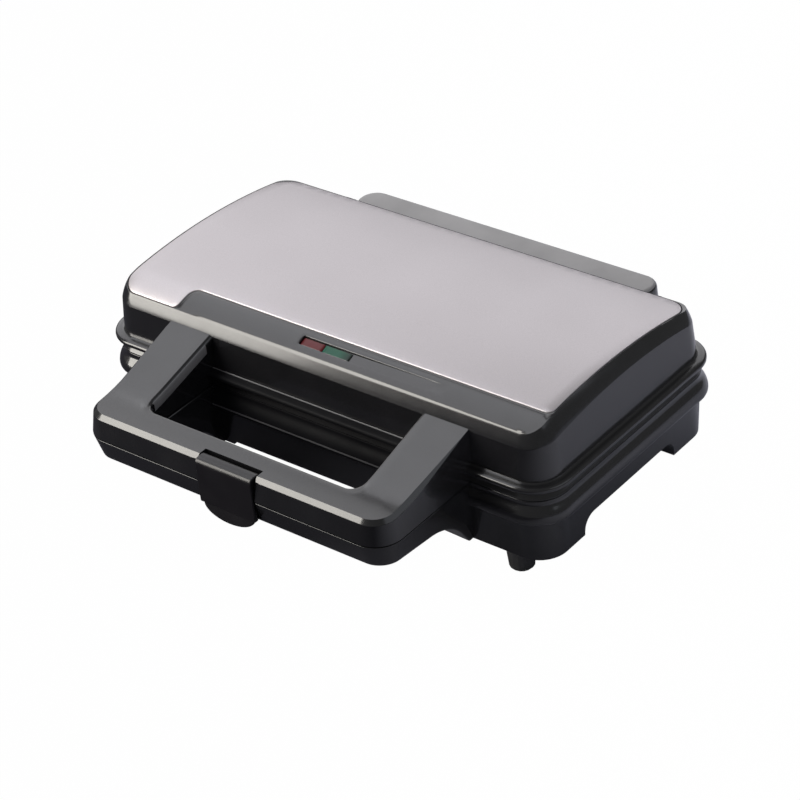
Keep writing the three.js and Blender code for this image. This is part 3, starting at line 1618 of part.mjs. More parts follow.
addPiece(baseGroup, "base_housing", makeBaseHousing(), blackPlastic);
addPiece(baseGroup, "bottom_cover", makeBottomCover(), matteBlack);
addPiece(baseGroup, "thermostat", makeThermostat(), brightSteel);
addPiece(baseGroup, "thermal_fuse", makeThermalFuse(), paleCeramic);
addPiece(baseGroup, "terminal_block", makeTerminalBlock(), paleCeramic);
addPiece(baseGroup, "cord_gland", makeCordGland(), blackRubber);
addPiece(baseGroup, "hinge_pin_left", makeHingePin(-1), brightSteel);
addPiece(baseGroup, "hinge_pin_right", makeHingePin(1), brightSteel);
for (const [name, [x, y]] of Object.entries(footPlaces)) {
  addPiece(baseGroup, name, makeFoot(), blackRubber).position.set(x, y, 0);
}
coverScrewPlaces.forEach(([x, y], i) => {
  const screw = addPiece(baseGroup, `cover_screw_${i + 1}`, makeScrew(screwBite), brightSteel);
  screw.rotation.x = Math.PI;
  screw.position.set(x, y, coverUnder - fitGap);
});

addPiece(lidGroup, "lid_housing", makeLidHousing(), blackPlastic);
addPiece(lidGroup, "top_panel", makeTopPanel(), panelSheet);
addPiece(lidGroup, "red_lens", makeLens(redStart, redEnd), redLensPlastic);
addPiece(lidGroup, "green_lens", makeLens(greenStart, greenEnd), greenLensPlastic);
addPiece(lidGroup, "red_lamp", makeLamp(redStart, redEnd), lampGlass);
addPiece(lidGroup, "green_lamp", makeLamp(greenStart, greenEnd), lampGlass);
addPiece(lidGroup, "lamp_board", makeLampBoard(), matteBlack);
addPiece(lidGroup, "latch_pin", makeLatchPin(), brightSteel);
addPiece(lidGroup, "latch_clip", makeLatchClip(), blackPlastic);

// The origin goes to the middle of the footprint.
const footprint = new THREE.Box3().setFromObject(sandwichMaker);
sandwichMaker.position.y = -(footprint.min.y + footprint.max.y) / 2;

export default sandwichMaker;
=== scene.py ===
import math

import bmesh
import bpy
from mathutils import Matrix, Vector
from mathutils.geometry import delaunay_2d_cdt


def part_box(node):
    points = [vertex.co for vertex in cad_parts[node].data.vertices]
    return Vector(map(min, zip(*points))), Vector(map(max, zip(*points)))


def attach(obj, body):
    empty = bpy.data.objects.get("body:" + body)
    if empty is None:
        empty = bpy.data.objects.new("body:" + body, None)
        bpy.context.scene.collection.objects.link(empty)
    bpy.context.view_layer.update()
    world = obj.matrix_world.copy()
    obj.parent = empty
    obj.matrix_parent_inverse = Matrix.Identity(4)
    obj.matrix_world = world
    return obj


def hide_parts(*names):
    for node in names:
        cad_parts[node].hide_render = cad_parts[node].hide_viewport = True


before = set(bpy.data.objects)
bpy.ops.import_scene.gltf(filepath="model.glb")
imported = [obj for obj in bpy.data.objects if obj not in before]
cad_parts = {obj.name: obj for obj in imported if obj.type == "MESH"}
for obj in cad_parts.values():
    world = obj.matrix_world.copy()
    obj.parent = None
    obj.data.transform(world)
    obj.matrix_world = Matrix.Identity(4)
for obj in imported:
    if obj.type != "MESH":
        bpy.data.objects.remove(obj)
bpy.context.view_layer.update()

# Base housing
# The black moulded lower half: seam flange, neck, skirt with side arches, and the lower half of the handle.
# Injection moulded glossy plastic in one piece; the lower cooking plate sits on a ledge inside its rim.
MM = 0.001
BODY_HALF = 132.0
BODY_DEPTH = 137.6
BODY_CORNER = 17.3
SEAM = 46.0
SEAM_GAP = 0.3
PLATE_INSET = 8.5
SEAT_INSET = 7.9
THROAT_INSET = 11.5
SEAT_DROP = 4.5
THROAT_DROP = 7.8
ARM_LINE = 63.4
CORNER_STEPS = 14
SIDE_STEPS = 28
MERGE = 0.004
TINY_EDGE = 0.002

# The CAD moves the object so that its origin is the middle of its footprint.
plate_low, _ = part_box("lower_cooking_plate")
SHIFT = plate_low[1] / MM - PLATE_INSET


def quarter(steps, first=0, last=None):
    """Angles of a quarter turn in even steps, from the first step to the last."""
    return [i / steps * math.pi / 2 for i in range(first, (steps if last is None else last) + 1)]


def plan_ring(half, front, back, radius, height, side_ys=(), front_xs=()):
    """A rounded rectangle seen from above: up the right side, then down the left side."""
    height_at = height if callable(height) else (lambda y: height)
    right = []
    for turn in quarter(CORNER_STEPS):
        right.append((half - radius * (1 - math.sin(turn)), front + radius * (1 - math.cos(turn))))
    right += [(half, y) for y in side_ys]
    for turn in quarter(CORNER_STEPS):
        right.append((half - radius * (1 - math.cos(turn)), back - radius * (1 - math.sin(turn))))
    left = [(-x, y) for x, y in reversed(right)]
    across = [(x, front) for x in front_xs]
    return [(x, y, height_at(y)) for x, y in right + left + across]


def even(start, end, count):
    """Values strictly between two ends."""
    return [start + (end - start) * (i + 1) / (count + 1) for i in range(count)]


# The front wall has an edge under each arm of the handle, so that its shading stays even between them.
SIDE_YS = even(BODY_CORNER, BODY_DEPTH - BODY_CORNER, SIDE_STEPS)
ARM_XS = (-ARM_LINE, ARM_LINE)


def body_ring(inset, height):
    """The body's outline drawn in by an inset."""
    return plan_ring(
        BODY_HALF - inset, inset, BODY_DEPTH - inset, BODY_CORNER - inset, height, SIDE_YS, ARM_XS
    )


def add_loft(bm, rings, closed=True):
    """Quads between rings of equal count; returns the vertex rings."""
    made = [[bm.verts.new(p) for p in ring] for ring in rings]
    count = len(rings[0])
    for low, high in zip(made, made[1:]):
        for i in range(count if closed else count - 1):
            j = (i + 1) % count
            corners = [low[i], low[j], high[j], high[i]]
            if len({tuple(round(c, 5) for c in v.co) for v in corners}) > 2:
                bm.faces.new(corners)
    return made


def add_solid(bm, rings):
    """A loft closed by a face at each end."""
    made = add_loft(bm, rings)
    bm.faces.new(made[0])
    bm.faces.new(list(reversed(made[-1])))


def soften(obj, width, angle, segments=2):
    """Rounds the edges that turn more than an angle, as those of a moulded or pressed piece are."""
    soft = obj.modifiers.new("soft_edges", "BEVEL")
    soft.width = width * MM
    soft.segments = segments
    soft.limit_method = "ANGLE"
    soft.angle_limit = math.radians(angle)
    soft.harden_normals = True


def finish_mesh(bm, name, body, node, bevel, sharp=38, segments=2):
    """Turns millimetres in the making frame into a softened object that stands for its CAD node."""
    bmesh.ops.remove_doubles(bm, verts=bm.verts, dist=MERGE)
    bmesh.ops.dissolve_degenerate(bm, dist=TINY_EDGE, edges=bm.edges)
    bmesh.ops.recalc_face_normals(bm, faces=bm.faces)
    for v in bm.verts:
        v.co = Vector((v.co.x, v.co.y + SHIFT, v.co.z)) * MM
    mesh = bpy.data.meshes.new(name)
    bm.to_mesh(mesh)
    bm.free()
    obj = bpy.data.objects.new(name, mesh)
    bpy.context.scene.collection.objects.link(obj)
    mesh.shade_smooth()
    if bevel:
        soften(obj, bevel, sharp, segments)
    else:
        mesh.set_sharp_from_angle(angle=math.radians(sharp))
    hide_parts(node)
    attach(obj, body)
    return obj


def add_post(bm, x, y, radius, foot, top, sides=28):
    """An upright round post with closed ends."""
    angles = [2 * math.pi * k / sides for k in range(sides)]
    rings = []
    for z in (foot, top):
        rings.append([(x + radius * math.cos(a), y + radius * math.sin(a), z) for a in angles])
    add_solid(bm, rings)


def add_box(bm, low, high):
    """A closed box between two corners."""
    xs, ys, zs = zip(low, high)
    corners = [bm.verts.new((x, y, z)) for x in xs for y in ys for z in zs]
    for face in ((0, 1, 3, 2), (4, 6, 7, 5), (0, 4, 5, 1), (2, 3, 7, 6), (0, 2, 6, 4), (1, 5, 7, 3)):
        bm.faces.new([corners[i] for i in face])


def node_material(name):
    """A new node material with its shader, and coordinates in the object's own space."""
    material = bpy.data.materials.new(name)
    material.use_nodes = True
    nodes = material.node_tree.nodes
    shader = nodes["Principled BSDF"]
    coordinates = nodes.new("ShaderNodeTexCoord")
    return material, nodes, material.node_tree.links, shader, coordinates.outputs["Object"]


def noise(nodes, links, where, scale, detail):
    """A noise texture fed by the object's coordinates."""
    texture = nodes.new("ShaderNodeTexNoise")
    texture.inputs["Scale"].default_value = scale
    texture.inputs["Detail"].default_value = detail
    links.new(where, texture.inputs["Vector"])
    return texture.outputs["Fac"]


def spread(nodes, links, value, low, high, start=0.3, end=0.7):
    """Maps a value, such as that of a noise texture, to a range."""
    ramp = nodes.new("ShaderNodeMapRange")
    ramp.inputs["From Min"].default_value = start
    ramp.inputs["From Max"].default_value = end
    ramp.inputs["To Min"].default_value = low
    ramp.inputs["To Max"].default_value = high
    links.new(value, ramp.inputs["Value"])
    return ramp.outputs["Result"]


def two_tone(nodes, links, value, dark, light):
    """A colour that wanders between two near shades."""
    ramp = nodes.new("ShaderNodeValToRGB")
    ramp.color_ramp.elements[0].position = 0.35
    ramp.color_ramp.elements[0].color = (*dark, 1)
    ramp.color_ramp.elements[1].position = 0.65
    ramp.color_ramp.elements[1].color = (*light, 1)
    links.new(value, ramp.inputs["Fac"])
    return ramp.outputs["Color"]


def bump(nodes, links, value, shader, strength, distance):
    """Fine relief on the surface."""
    relief = nodes.new("ShaderNodeBump")
    relief.inputs["Strength"].default_value = strength
    relief.inputs["Distance"].default_value = distance
    links.new(value, relief.inputs["Height"])
    links.new(relief.outputs["Normal"], shader.inputs["Normal"])


def moulded_black(name, dark, light, rough, coat, grain, relief, specular=0.5):
    """Black moulded plastic: a wandering shade, uneven gloss, a faint skin relief and a clear top gloss."""
    material, nodes, links, shader, where = node_material(name)
    shade = two_tone(nodes, links, noise(nodes, links, where, scale=34, detail=4), dark, light)
    links.new(shade, shader.inputs["Base Color"])
    gloss = spread(nodes, links, noise(nodes, links, where, scale=90, detail=5), *rough)
    links.new(gloss, shader.inputs["Roughness"])
    skin = noise(nodes, links, where, scale=grain, detail=2)
    bump(nodes, links, skin, shader, strength=relief, distance=0.2 * MM)
    shader.inputs["IOR"].default_value = 1.5
    shader.inputs["Specular IOR Level"].default_value = specular
    shader.inputs["Coat Weight"].default_value = coat
    shader.inputs["Coat Roughness"].default_value = 0.11
    shader.inputs["Coat IOR"].default_value = 1.5
    return material


# The housings are glossy as moulded. Painted light comes as three copies of the plastic: painted shade,
# darker and duller, on the front walls that the handle shades; a painted sheen, pale grey, on the hinge
# block's top and the band inside the handle; and painted highlight lines, lighter grey, on the bead and lip
# between the arms.
black_plastic = moulded_black(
    "glossy_black_plastic", dark=(0.011, 0.011, 0.0125), light=(0.015, 0.015, 0.017),
    rough=(0.2, 0.27), coat=1.0, grain=750, relief=0.04,
)
# Painted shade: a darker, duller copy of the black plastic for the front walls that the handle keeps from
# the light.
painted_shade_plastic = moulded_black(
    "painted_shade_black_plastic", dark=(0.007, 0.007, 0.0085), light=(0.01, 0.01, 0.012),
    rough=(0.5, 0.6), coat=0.0, grain=1300, relief=0.15, specular=0.12,
)
# Painted sheen: a pale grey copy of the black plastic that paints the light caught by the hinge block's top
# and the band inside the handle.
painted_sheen_plastic = moulded_black(
    "painted_sheen_black_plastic", dark=(0.34, 0.333, 0.342), light=(0.42, 0.412, 0.423),
    rough=(0.42, 0.52), coat=0.6, grain=1100, relief=0.2,
)
# Painted highlight: a lighter grey copy of the black plastic that paints thin highlight lines on the crests
# of the bead and lip between the handle's arms.
painted_highlight_plastic = moulded_black(
    "painted_highlight_black_plastic", dark=(0.1, 0.1, 0.106), light=(0.16, 0.16, 0.168),
    rough=(0.38, 0.5), coat=0.3, grain=900, relief=0.1,
)


def paint_faces(obj, material, chosen):
    """Gives a material to the faces whose middles, in millimetres in the making frame, are chosen."""
    obj.data.materials.append(material)
    for face in obj.data.polygons:
        x, y, z = face.center / MM
        if chosen(x, y - SHIFT, z):
            face.material_index = len(obj.data.materials) - 1


OPENING_WALL_HALF = 63.0


def front_wall(ys, zs):
    """A test for faces of the front wall that are seen through the handle's opening."""
    return lambda x, y, z: abs(x) < OPENING_WALL_HALF and ys[0] < y < ys[1] and zs[0] < z < zs[1]


# Sections of the base's wall: inset and drop at the seam, then inset and height of its lip and of the ledge.
LOWER_SEAM_EDGE = [(1.55, 0.0), (1.25, 0.12), (1.13, 0.4), (1.16, 0.9)]
LIP = [
    (1.22, 44.4), (1.12, 43.7), (0.8, 42.9), (0.3, 42.1), (-0.25, 41.3), (-0.8, 40.4), (-1.25, 39.4),
    (-1.6, 38.3), (-1.82, 37.2), (-1.88, 36.3), (-1.8, 35.5), (-1.5, 34.8), (-0.95, 34.2), (-0.1, 33.7),
    (0.9, 33.4), (2.0, 33.25), (2.5, 33.15), (2.3, 33.0),
]
LEDGE = [(1.75, 32.95), (1.52, 32.75), (1.5, 32.45), (1.7, 32.15), (2.1, 31.9), (2.25, 31.6)]


def lower_skin_rings():
    """From the plate's ledge inside, over the seam and the rounded lip, down to the ledge outside."""
    top = SEAM - SEAM_GAP / 2
    rings = [
        body_ring(THROAT_INSET, SEAM - THROAT_DROP),
        body_ring(THROAT_INSET, SEAM - SEAT_DROP),
        body_ring(SEAT_INSET, SEAM - SEAT_DROP),
        body_ring(SEAT_INSET, top),
    ]
    rings += [body_ring(inset, top - drop) for inset, drop in LOWER_SEAM_EDGE]
    return rings + [body_ring(inset, height) for inset, height in LIP + LEDGE]


SKIRT_TOP_INSET, SKIRT_TOP = LEDGE[-1]
SKIRT_INSET = 3.4
SKIRT_BOTTOM = 12.0
SKIRT_DRAFT = SKIRT_INSET - SKIRT_TOP_INSET
SKIRT_WALL_INSET = 6.0
SKIRT_INNER_CORNER = 7.0
BRIM_HEIGHT = 21.7
LEG_INNER = 118.0
ARCH_FRONT = 31.5
ARCH_BACK = 103.5
ARCH_TOP = 21.5
ARCH_CORNER = 7.0
ARCH_STEPS = 6
RELIEF_HALF = 57.0
RELIEF_TOP = 13.8
RELIEF_CORNER = 1.4
RELIEF_XS = (10.0, 30.0, 44.0)
FRONT_LEG_XS = (68.0, 84.0, 100.0)

# An opening's upright sides lean out a little on the wall above, so that no face folds over.
JAMB_IN = 0.3
JAMB_OUT = 1.2
JAMB_CLEAR = 1.4


def skirt_foot():
    """Points of the skirt's lower edge along one side: y on the wall above, y and z of the edge."""
    points = [(y, y, SKIRT_BOTTOM) for y in even(BODY_CORNER, ARCH_FRONT - JAMB_CLEAR, 3)]
    points.append((ARCH_FRONT - JAMB_OUT, ARCH_FRONT, SKIRT_BOTTOM))
    points.append((ARCH_FRONT - JAMB_IN, ARCH_FRONT, ARCH_TOP - ARCH_CORNER))
    for turn in quarter(ARCH_STEPS, first=1):
        y = ARCH_FRONT + ARCH_CORNER * (1 - math.cos(turn))
        points.append((y, y, ARCH_TOP - ARCH_CORNER * (1 - math.sin(turn))))
    points += [(y, y, ARCH_TOP) for y in even(ARCH_FRONT + ARCH_CORNER, ARCH_BACK - ARCH_CORNER, 5)]
    for turn in quarter(ARCH_STEPS, last=ARCH_STEPS - 1):
        y = ARCH_BACK - ARCH_CORNER * (1 - math.sin(turn))
        points.append((y, y, ARCH_TOP - ARCH_CORNER * (1 - math.cos(turn))))
    points.append((ARCH_BACK + JAMB_IN, ARCH_BACK, ARCH_TOP - ARCH_CORNER))
    points.append((ARCH_BACK + JAMB_OUT, ARCH_BACK, SKIRT_BOTTOM))
    return points + [(y, y, SKIRT_BOTTOM) for y in even(ARCH_BACK + JAMB_CLEAR, BODY_DEPTH - BODY_CORNER, 2)]


def front_foot():
    """Points of the skirt's front lower edge: x on the wall above, x and z of the edge."""
    right = [(x, x, RELIEF_TOP) for x in RELIEF_XS]
    for turn in quarter(ARCH_STEPS, last=ARCH_STEPS - 1):
        x = RELIEF_HALF - RELIEF_CORNER * (1 - math.sin(turn))
        right.append((x, x, RELIEF_TOP - RELIEF_CORNER * (1 - math.cos(turn))))
    right.append((RELIEF_HALF + JAMB_IN, RELIEF_HALF, RELIEF_TOP - RELIEF_CORNER))
    right.append((RELIEF_HALF + JAMB_OUT, RELIEF_HALF, SKIRT_BOTTOM))
    right += [(x, x, SKIRT_BOTTOM) for x in FRONT_LEG_XS]
    return [(-wall, -x, z) for wall, x, z in reversed(right)] + right


def skirt_ring(half, front, back, radius, lower):
    """A ring of the skirt, either straight round at the ledge or along the arched lower edge."""
    side = skirt_foot()
    column = 1 if lower else 0
    drafted = lower and half > LEG_INNER
    ring = plan_ring(half, front, back, radius, SKIRT_BOTTOM, [p[column] for p in side])
    start = CORNER_STEPS + 1
    last = len(ring) - 1
    for k, (_, _, z) in enumerate(side):
        share = (z - SKIRT_BOTTOM) / (SKIRT_TOP - SKIRT_BOTTOM)
        x = half + SKIRT_DRAFT * share if drafted else half
        y = ring[start + k][1]
        ring[start + k] = (x, y, z)
        ring[last - start - k] = (-x, y, z)
    for point in front_foot():
        share = (point[2] - SKIRT_BOTTOM) / (SKIRT_TOP - SKIRT_BOTTOM)
        y = front - SKIRT_DRAFT * share if drafted else front
        ring.append((point[column], y, point[2]))
    if not lower:
        ring = [(x, y, SKIRT_TOP) for x, y, _ in ring]
    return ring


def add_skirt(bm):
    """The wall below the ledge with the arched gap on each side, and the legs' inner faces."""
    inset = SKIRT_TOP_INSET
    upper = skirt_ring(BODY_HALF - inset, inset, BODY_DEPTH - inset, BODY_CORNER - inset, lower=False)
    inset = SKIRT_INSET
    outer = skirt_ring(BODY_HALF - inset, inset, BODY_DEPTH - inset, BODY_CORNER - inset, lower=True)
    inset = SKIRT_WALL_INSET
    inner = skirt_ring(LEG_INNER, inset, BODY_DEPTH - inset, SKIRT_INNER_CORNER, lower=True)
    ceiling = [(x, y, max(z, BRIM_HEIGHT)) for x, y, z in inner]
    add_loft(bm, [upper, outer, inner, ceiling])


GRIP_FRONT = 61.8
GRIP_HALF = 90.2
GRIP_CORNER = 13.8
GRIP_ROOT = 6.0
GRIP_FOOT = 34.0
GRIP_FALL = 0.085
SWEEP_START = 25.0
SWEEP_RADIUS = 27.0
OPENING_HALF = 62.4
OPENING_FRONT = 44.0
OPENING_CORNER = 6.5


def grip_bottom(y):
    """Height of the handle's underside, which sweeps down into the skirt at the body."""
    level = GRIP_FOOT - GRIP_FALL * (y + GRIP_FRONT)
    if y < -SWEEP_START:
        return level
    drop = SWEEP_RADIUS - math.sqrt(max(SWEEP_RADIUS**2 - (y + SWEEP_START) ** 2, 0.0))
    return max(level - drop, SKIRT_BOTTOM)


# The clip's recess in the handle's front, and where the handle's outline has points: shares of an arm's
# length, and x along its front.
CLIP_RECESS_HALF = 17.1
CLIP_RECESS_BACK = 53.7
CLIP_LOWER_BACK = 59.6
ARM_SHARES = [0.0, 0.05, 0.1, 0.15, 0.2, 0.25, 0.3, 0.36, 0.42, 0.49, 0.56, 0.64, 0.72, 0.81, 0.9]
FRONT_HALF_XS = [9.0, CLIP_RECESS_HALF, 20.0, 28.0, 40.0, 52.0]
FRONT_XS = [-x for x in reversed(FRONT_HALF_XS)] + [0.0] + FRONT_HALF_XS


def u_line(half, front, radius, height):
    """The handle's outline seen from above: from the body forward, across the front, and back."""
    left = [(-half, GRIP_ROOT + (-front + radius - GRIP_ROOT) * s) for s in ARM_SHARES]
    for turn in quarter(CORNER_STEPS):
        left.append((-half + radius * (1 - math.cos(turn)), -front + radius * (1 - math.sin(turn))))
    right = [(-x, y) for x, y in reversed(left)]
    across = [(x, -front) for x in FRONT_XS]
    height_at = height if callable(height) else (lambda y: height)
    return [(x, y, height_at(y)) for x, y in left + across + right]


def outer_line(inset, height):
    return u_line(GRIP_HALF - inset, GRIP_FRONT - inset, GRIP_CORNER - inset, height)


def inner_line(grow, height):
    return u_line(OPENING_HALF + grow, OPENING_FRONT + grow, OPENING_CORNER + grow, height)


def between(a, b, share, height):
    """A line part of the way between two outlines, laid on the surface of the handle."""
    return [
        (p[0] + (q[0] - p[0]) * share, p[1] + (q[1] - p[1]) * share, height(p[1] + (q[1] - p[1]) * share))
        for p, q in zip(a, b)
    ]


# Sections of the lower half: inset, or growth of the opening, and rise over the underside.
GRIP_SEAM_WIDTH = 2.4
COVER_SEAT = 3.3
LOWER_SEAM_BREAK = 0.15
INNER_SEAM_BREAK = 0.35
OUTER_ROUND = [(2.8, 1.6), (3.1, 0.7), (3.6, 0.2)]
INNER_ROUND = [(0.25, 0.25), (0.0, 0.9)]
FOOT_INSET = 4.2
FOOT_GROW = 0.9
FOOT_SHARES = (0.35, 0.7)


def over_foot(line, section):
    """Lines of an outline at their rises over the handle's underside."""
    return [line(across, lambda y, r=rise: grip_bottom(y) + r) for across, rise in section]


def add_grip_half(bm, rows):
    """Lofts one half of the handle and closes it with the seat of its cover."""
    made = add_loft(bm, rows, closed=False)
    add_loft(bm, [[v.co.copy() for v in made[0]], [v.co.copy() for v in made[-1]]], closed=False)
    return made


def add_lower_grip(bm):
    """The lower half of the handle: seam edge, drafted sides, rounded underside."""
    top = SEAM - SEAM_GAP / 2
    seat = top - COVER_SEAT
    low_outer = outer_line(FOOT_INSET, grip_bottom)
    low_inner = inner_line(FOOT_GROW, grip_bottom)
    rows = [
        outer_line(GRIP_SEAM_WIDTH, seat),
        outer_line(GRIP_SEAM_WIDTH, top),
        outer_line(LOWER_SEAM_BREAK, top),
        outer_line(0.0, top - LOWER_SEAM_BREAK),
        *over_foot(outer_line, OUTER_ROUND),
        low_outer,
        *[between(low_outer, low_inner, share, grip_bottom) for share in FOOT_SHARES],
        low_inner,
        *over_foot(inner_line, INNER_ROUND),
        inner_line(0.0, top - INNER_SEAM_BREAK),
        inner_line(INNER_SEAM_BREAK, top),
        inner_line(GRIP_SEAM_WIDTH, top),
        inner_line(GRIP_SEAM_WIDTH, seat),
    ]
    return add_grip_half(bm, rows)


def cut_window(bm, made, first_row, last_row):
    """Takes out the handle's front faces across the clip's recess, between two rows."""
    doomed = []
    for row in range(first_row, last_row):
        here = set(made[row]) | set(made[row + 1])
        for vert in made[row]:
            for face in vert.link_faces:
                if face in doomed or not all(v in here for v in face.verts):
                    continue
                x = sum(v.co.x for v in face.verts) / len(face.verts)
                y = sum(v.co.y for v in face.verts) / len(face.verts)
                if abs(x) < CLIP_RECESS_HALF and y < -OPENING_FRONT:
                    doomed.append(face)
    bmesh.ops.delete(bm, geom=doomed, context="FACES_ONLY")


def line_recess(bm, side, path):
    """The recess's two side walls and the faces across it, each through points of y and z."""
    for x in (-CLIP_RECESS_HALF, CLIP_RECESS_HALF):
        bm.faces.new([bm.verts.new((x, y, z)) for y, z in side])
    rows = [[(-CLIP_RECESS_HALF, y, z), (CLIP_RECESS_HALF, y, z)] for y, z in path]
    add_loft(bm, rows, closed=False)


LOWER_RECESS_FOOT = 36.0


def lower_clip_recess(bm, made):
    """The shallow recess for the clip in the front of the lower handle half."""
    cut_window(bm, made, first_row=1, last_row=4)
    top = SEAM - SEAM_GAP / 2
    tuck, rise = OUTER_ROUND[0]
    back = [(-CLIP_LOWER_BACK, top), (-CLIP_LOWER_BACK, LOWER_RECESS_FOOT)]
    edge = [(-GRIP_FRONT + LOWER_SEAM_BREAK, top), (-GRIP_FRONT, top - LOWER_SEAM_BREAK)]
    foot = (-GRIP_FRONT + tuck, grip_bottom(-GRIP_FRONT) + rise)
    line_recess(bm, [back[0], *edge, back[1]], [(-GRIP_FRONT + GRIP_SEAM_WIDTH, top), *back, foot])


BLOCK_HALF = 89.2
BLOCK_FRONT = 139.6
BLOCK_BACK = 158.3
BLOCK_TOP = 67.0
BLOCK_DRAFT = 2.4
BLOCK_CORNER = 9.2
BLOCK_ROLL = 2.4
BLOCK_ROLL_STEPS = 7
BLOCK_FLAT_INSET = 4.4
REAR_LEG_INNER = 70.0
REAR_LEG_BACK = 153.0
REAR_LEG_TOP = 40.0
REAR_LEG_PROUD = 1.6
REAR_LEG_LIFT = 0.3


def block_ring(inset, front, height):
    """Outline of the hinge block behind the lid at one height."""
    share = (BLOCK_TOP - height) / (BLOCK_TOP - SKIRT_BOTTOM)
    half = BLOCK_HALF + BLOCK_DRAFT * share - inset
    back = BLOCK_BACK + BLOCK_DRAFT * share - inset
    return plan_ring(half, front, back, BLOCK_CORNER - inset, height)


def add_hinge_block(bm):
    """The rounded block that carries the hinge, with a softly rolled top edge, and the rear legs."""
    rings = [block_ring(0, BLOCK_FRONT, height) for height in (SKIRT_BOTTOM, BLOCK_TOP - BLOCK_ROLL)]
    for turn in quarter(BLOCK_ROLL_STEPS, first=1):
        roll = BLOCK_ROLL * (1 - math.cos(turn))
        rings.append(block_ring(roll, BLOCK_FRONT + roll, BLOCK_TOP - BLOCK_ROLL * (1 - math.sin(turn))))
    rings.append(block_ring(BLOCK_FLAT_INSET, BLOCK_FRONT + BLOCK_FLAT_INSET, BLOCK_TOP))
    made = add_loft(bm, rings)
    bm.faces.new(made[-1])
    half = BLOCK_HALF + REAR_LEG_PROUD
    front = BODY_DEPTH - BODY_CORNER
    foot = SKIRT_BOTTOM + REAR_LEG_LIFT
    for start, end in ((-half, -REAR_LEG_INNER), (REAR_LEG_INNER, half)):
        add_box(bm, (start, front, foot), (end, REAR_LEG_BACK, REAR_LEG_TOP))


# The front feet's bosses, the depth of the block's top that gets the painted sheen, and the part of the lip
# that gets painted shade and the part that gets a painted highlight line.
BOSS_X = 107.4
BOSS_Y = 11.2
BOSS_RADIUS = 7.6
BASE_SOFT_EDGE = 0.22
BLOCK_SHEEN_DROP = 0.9
LIP_PAINTED_SHADE = ((-3.0, 8.0), (34.0, 46.0))
LIP_PAINTED_HIGHLIGHT = ((-3.0, 0.0), (36.4, 37.0))


def make_base_housing():
    bm = bmesh.new()
    add_loft(bm, lower_skin_rings())
    add_skirt(bm)
    made = add_lower_grip(bm)
    lower_clip_recess(bm, made)
    add_hinge_block(bm)
    for x in (-BOSS_X, BOSS_X):
        add_post(bm, x, BOSS_Y, BOSS_RADIUS, SKIRT_BOTTOM, BRIM_HEIGHT)
    obj = finish_mesh(bm, "base_shell", "base", "base_housing", bevel=BASE_SOFT_EDGE)
    obj.data.materials.append(black_plastic)
    # Painted shade on the lip's front wall between the handle's arms.
    paint_faces(obj, painted_shade_plastic, front_wall(*LIP_PAINTED_SHADE))
    # Painted highlight line on the lip's crest between the arms.
    paint_faces(obj, painted_highlight_plastic, front_wall(*LIP_PAINTED_HIGHLIGHT))
    # Painted sheen on the hinge block's top.
    paint_faces(obj, painted_sheen_plastic, lambda x, y, z: y > BLOCK_FRONT and z > BLOCK_TOP - BLOCK_SHEEN_DROP)


make_base_housing()


# Cooking plates
# Two cast aluminium plates with diagonal pockets, coated against sticking and screwed in from behind.
# Their CAD shape is right, so they keep it and get the coating, smooth shading and softened edges.
CRISP_ANGLE = 48
CAST_SOFT_EDGE = 0.25
CAST_SOFT_ANGLE = 50


def plain_finish(name, dark, light, rough, metallic, grain, relief):
    """A finish with a wandering shade, uneven roughness and fine relief."""
    material, nodes, links, shader, where = node_material(name)
    shade = two_tone(nodes, links, noise(nodes, links, where, scale=60, detail=4), dark, light)
    links.new(shade, shader.inputs["Base Color"])
    gloss = spread(nodes, links, noise(nodes, links, where, scale=140, detail=4), *rough)
    links.new(gloss, shader.inputs["Roughness"])
    skin = noise(nodes, links, where, scale=grain, detail=3)
    bump(nodes, links, skin, shader, strength=relief, distance=0.3 * MM)
    shader.inputs["Metallic"].default_value = metallic
    return material


def smooth_by_angle(limit):
    """A node group that shades a mesh smooth and keeps the edges that turn more than a limit crisp."""
    group = bpy.data.node_groups.new("smooth_by_angle", "GeometryNodeTree")
    group.interface.new_socket("Geometry", in_out="INPUT", socket_type="NodeSocketGeometry")
    group.interface.new_socket("Geometry", in_out="OUTPUT", socket_type="NodeSocketGeometry")
    nodes, links = group.nodes, group.links
    start, end = nodes.new("NodeGroupInput"), nodes.new("NodeGroupOutput")
    faces, edges = nodes.new("GeometryNodeSetShadeSmooth"), nodes.new("GeometryNodeSetShadeSmooth")
    faces.domain = "FACE"
    edges.domain = "EDGE"
    edges.inputs["Shade Smooth"].default_value = False
    angle = nodes.new("GeometryNodeInputMeshEdgeAngle")
    crisp = nodes.new("FunctionNodeCompare")
    crisp.operation = "GREATER_THAN"
    crisp.inputs["B"].default_value = limit
    links.new(angle.outputs["Unsigned Angle"], crisp.inputs["A"])
    links.new(crisp.outputs["Result"], edges.inputs["Selection"])
    links.new(start.outputs["Geometry"], faces.inputs["Geometry"])
    links.new(faces.outputs["Geometry"], edges.inputs["Geometry"])
    links.new(edges.outputs["Geometry"], end.inputs["Geometry"])
    return group


smooth_shading = smooth_by_angle(math.radians(CRISP_ANGLE))


def keep_shape(material, *names):
    """Gives CAD pieces whose shape is right a finish, smooth shading and softened edges."""
    for name in names:
        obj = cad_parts[name]
        for holder in obj.material_slots:
            holder.material = material
        shading = obj.modifiers.new("smooth_by_angle", "NODES")
        shading.node_group = smooth_shading
        soften(obj, CAST_SOFT_EDGE, CAST_SOFT_ANGLE)


non_stick_coating = plain_finish(
    "non_stick_coating", dark=(0.035, 0.035, 0.037), light=(0.055, 0.055, 0.058),
    rough=(0.27, 0.38), metallic=0.35, grain=1700, relief=0.25,
)
keep_shape(non_stick_coating, "lower_cooking_plate", "upper_cooking_plate")


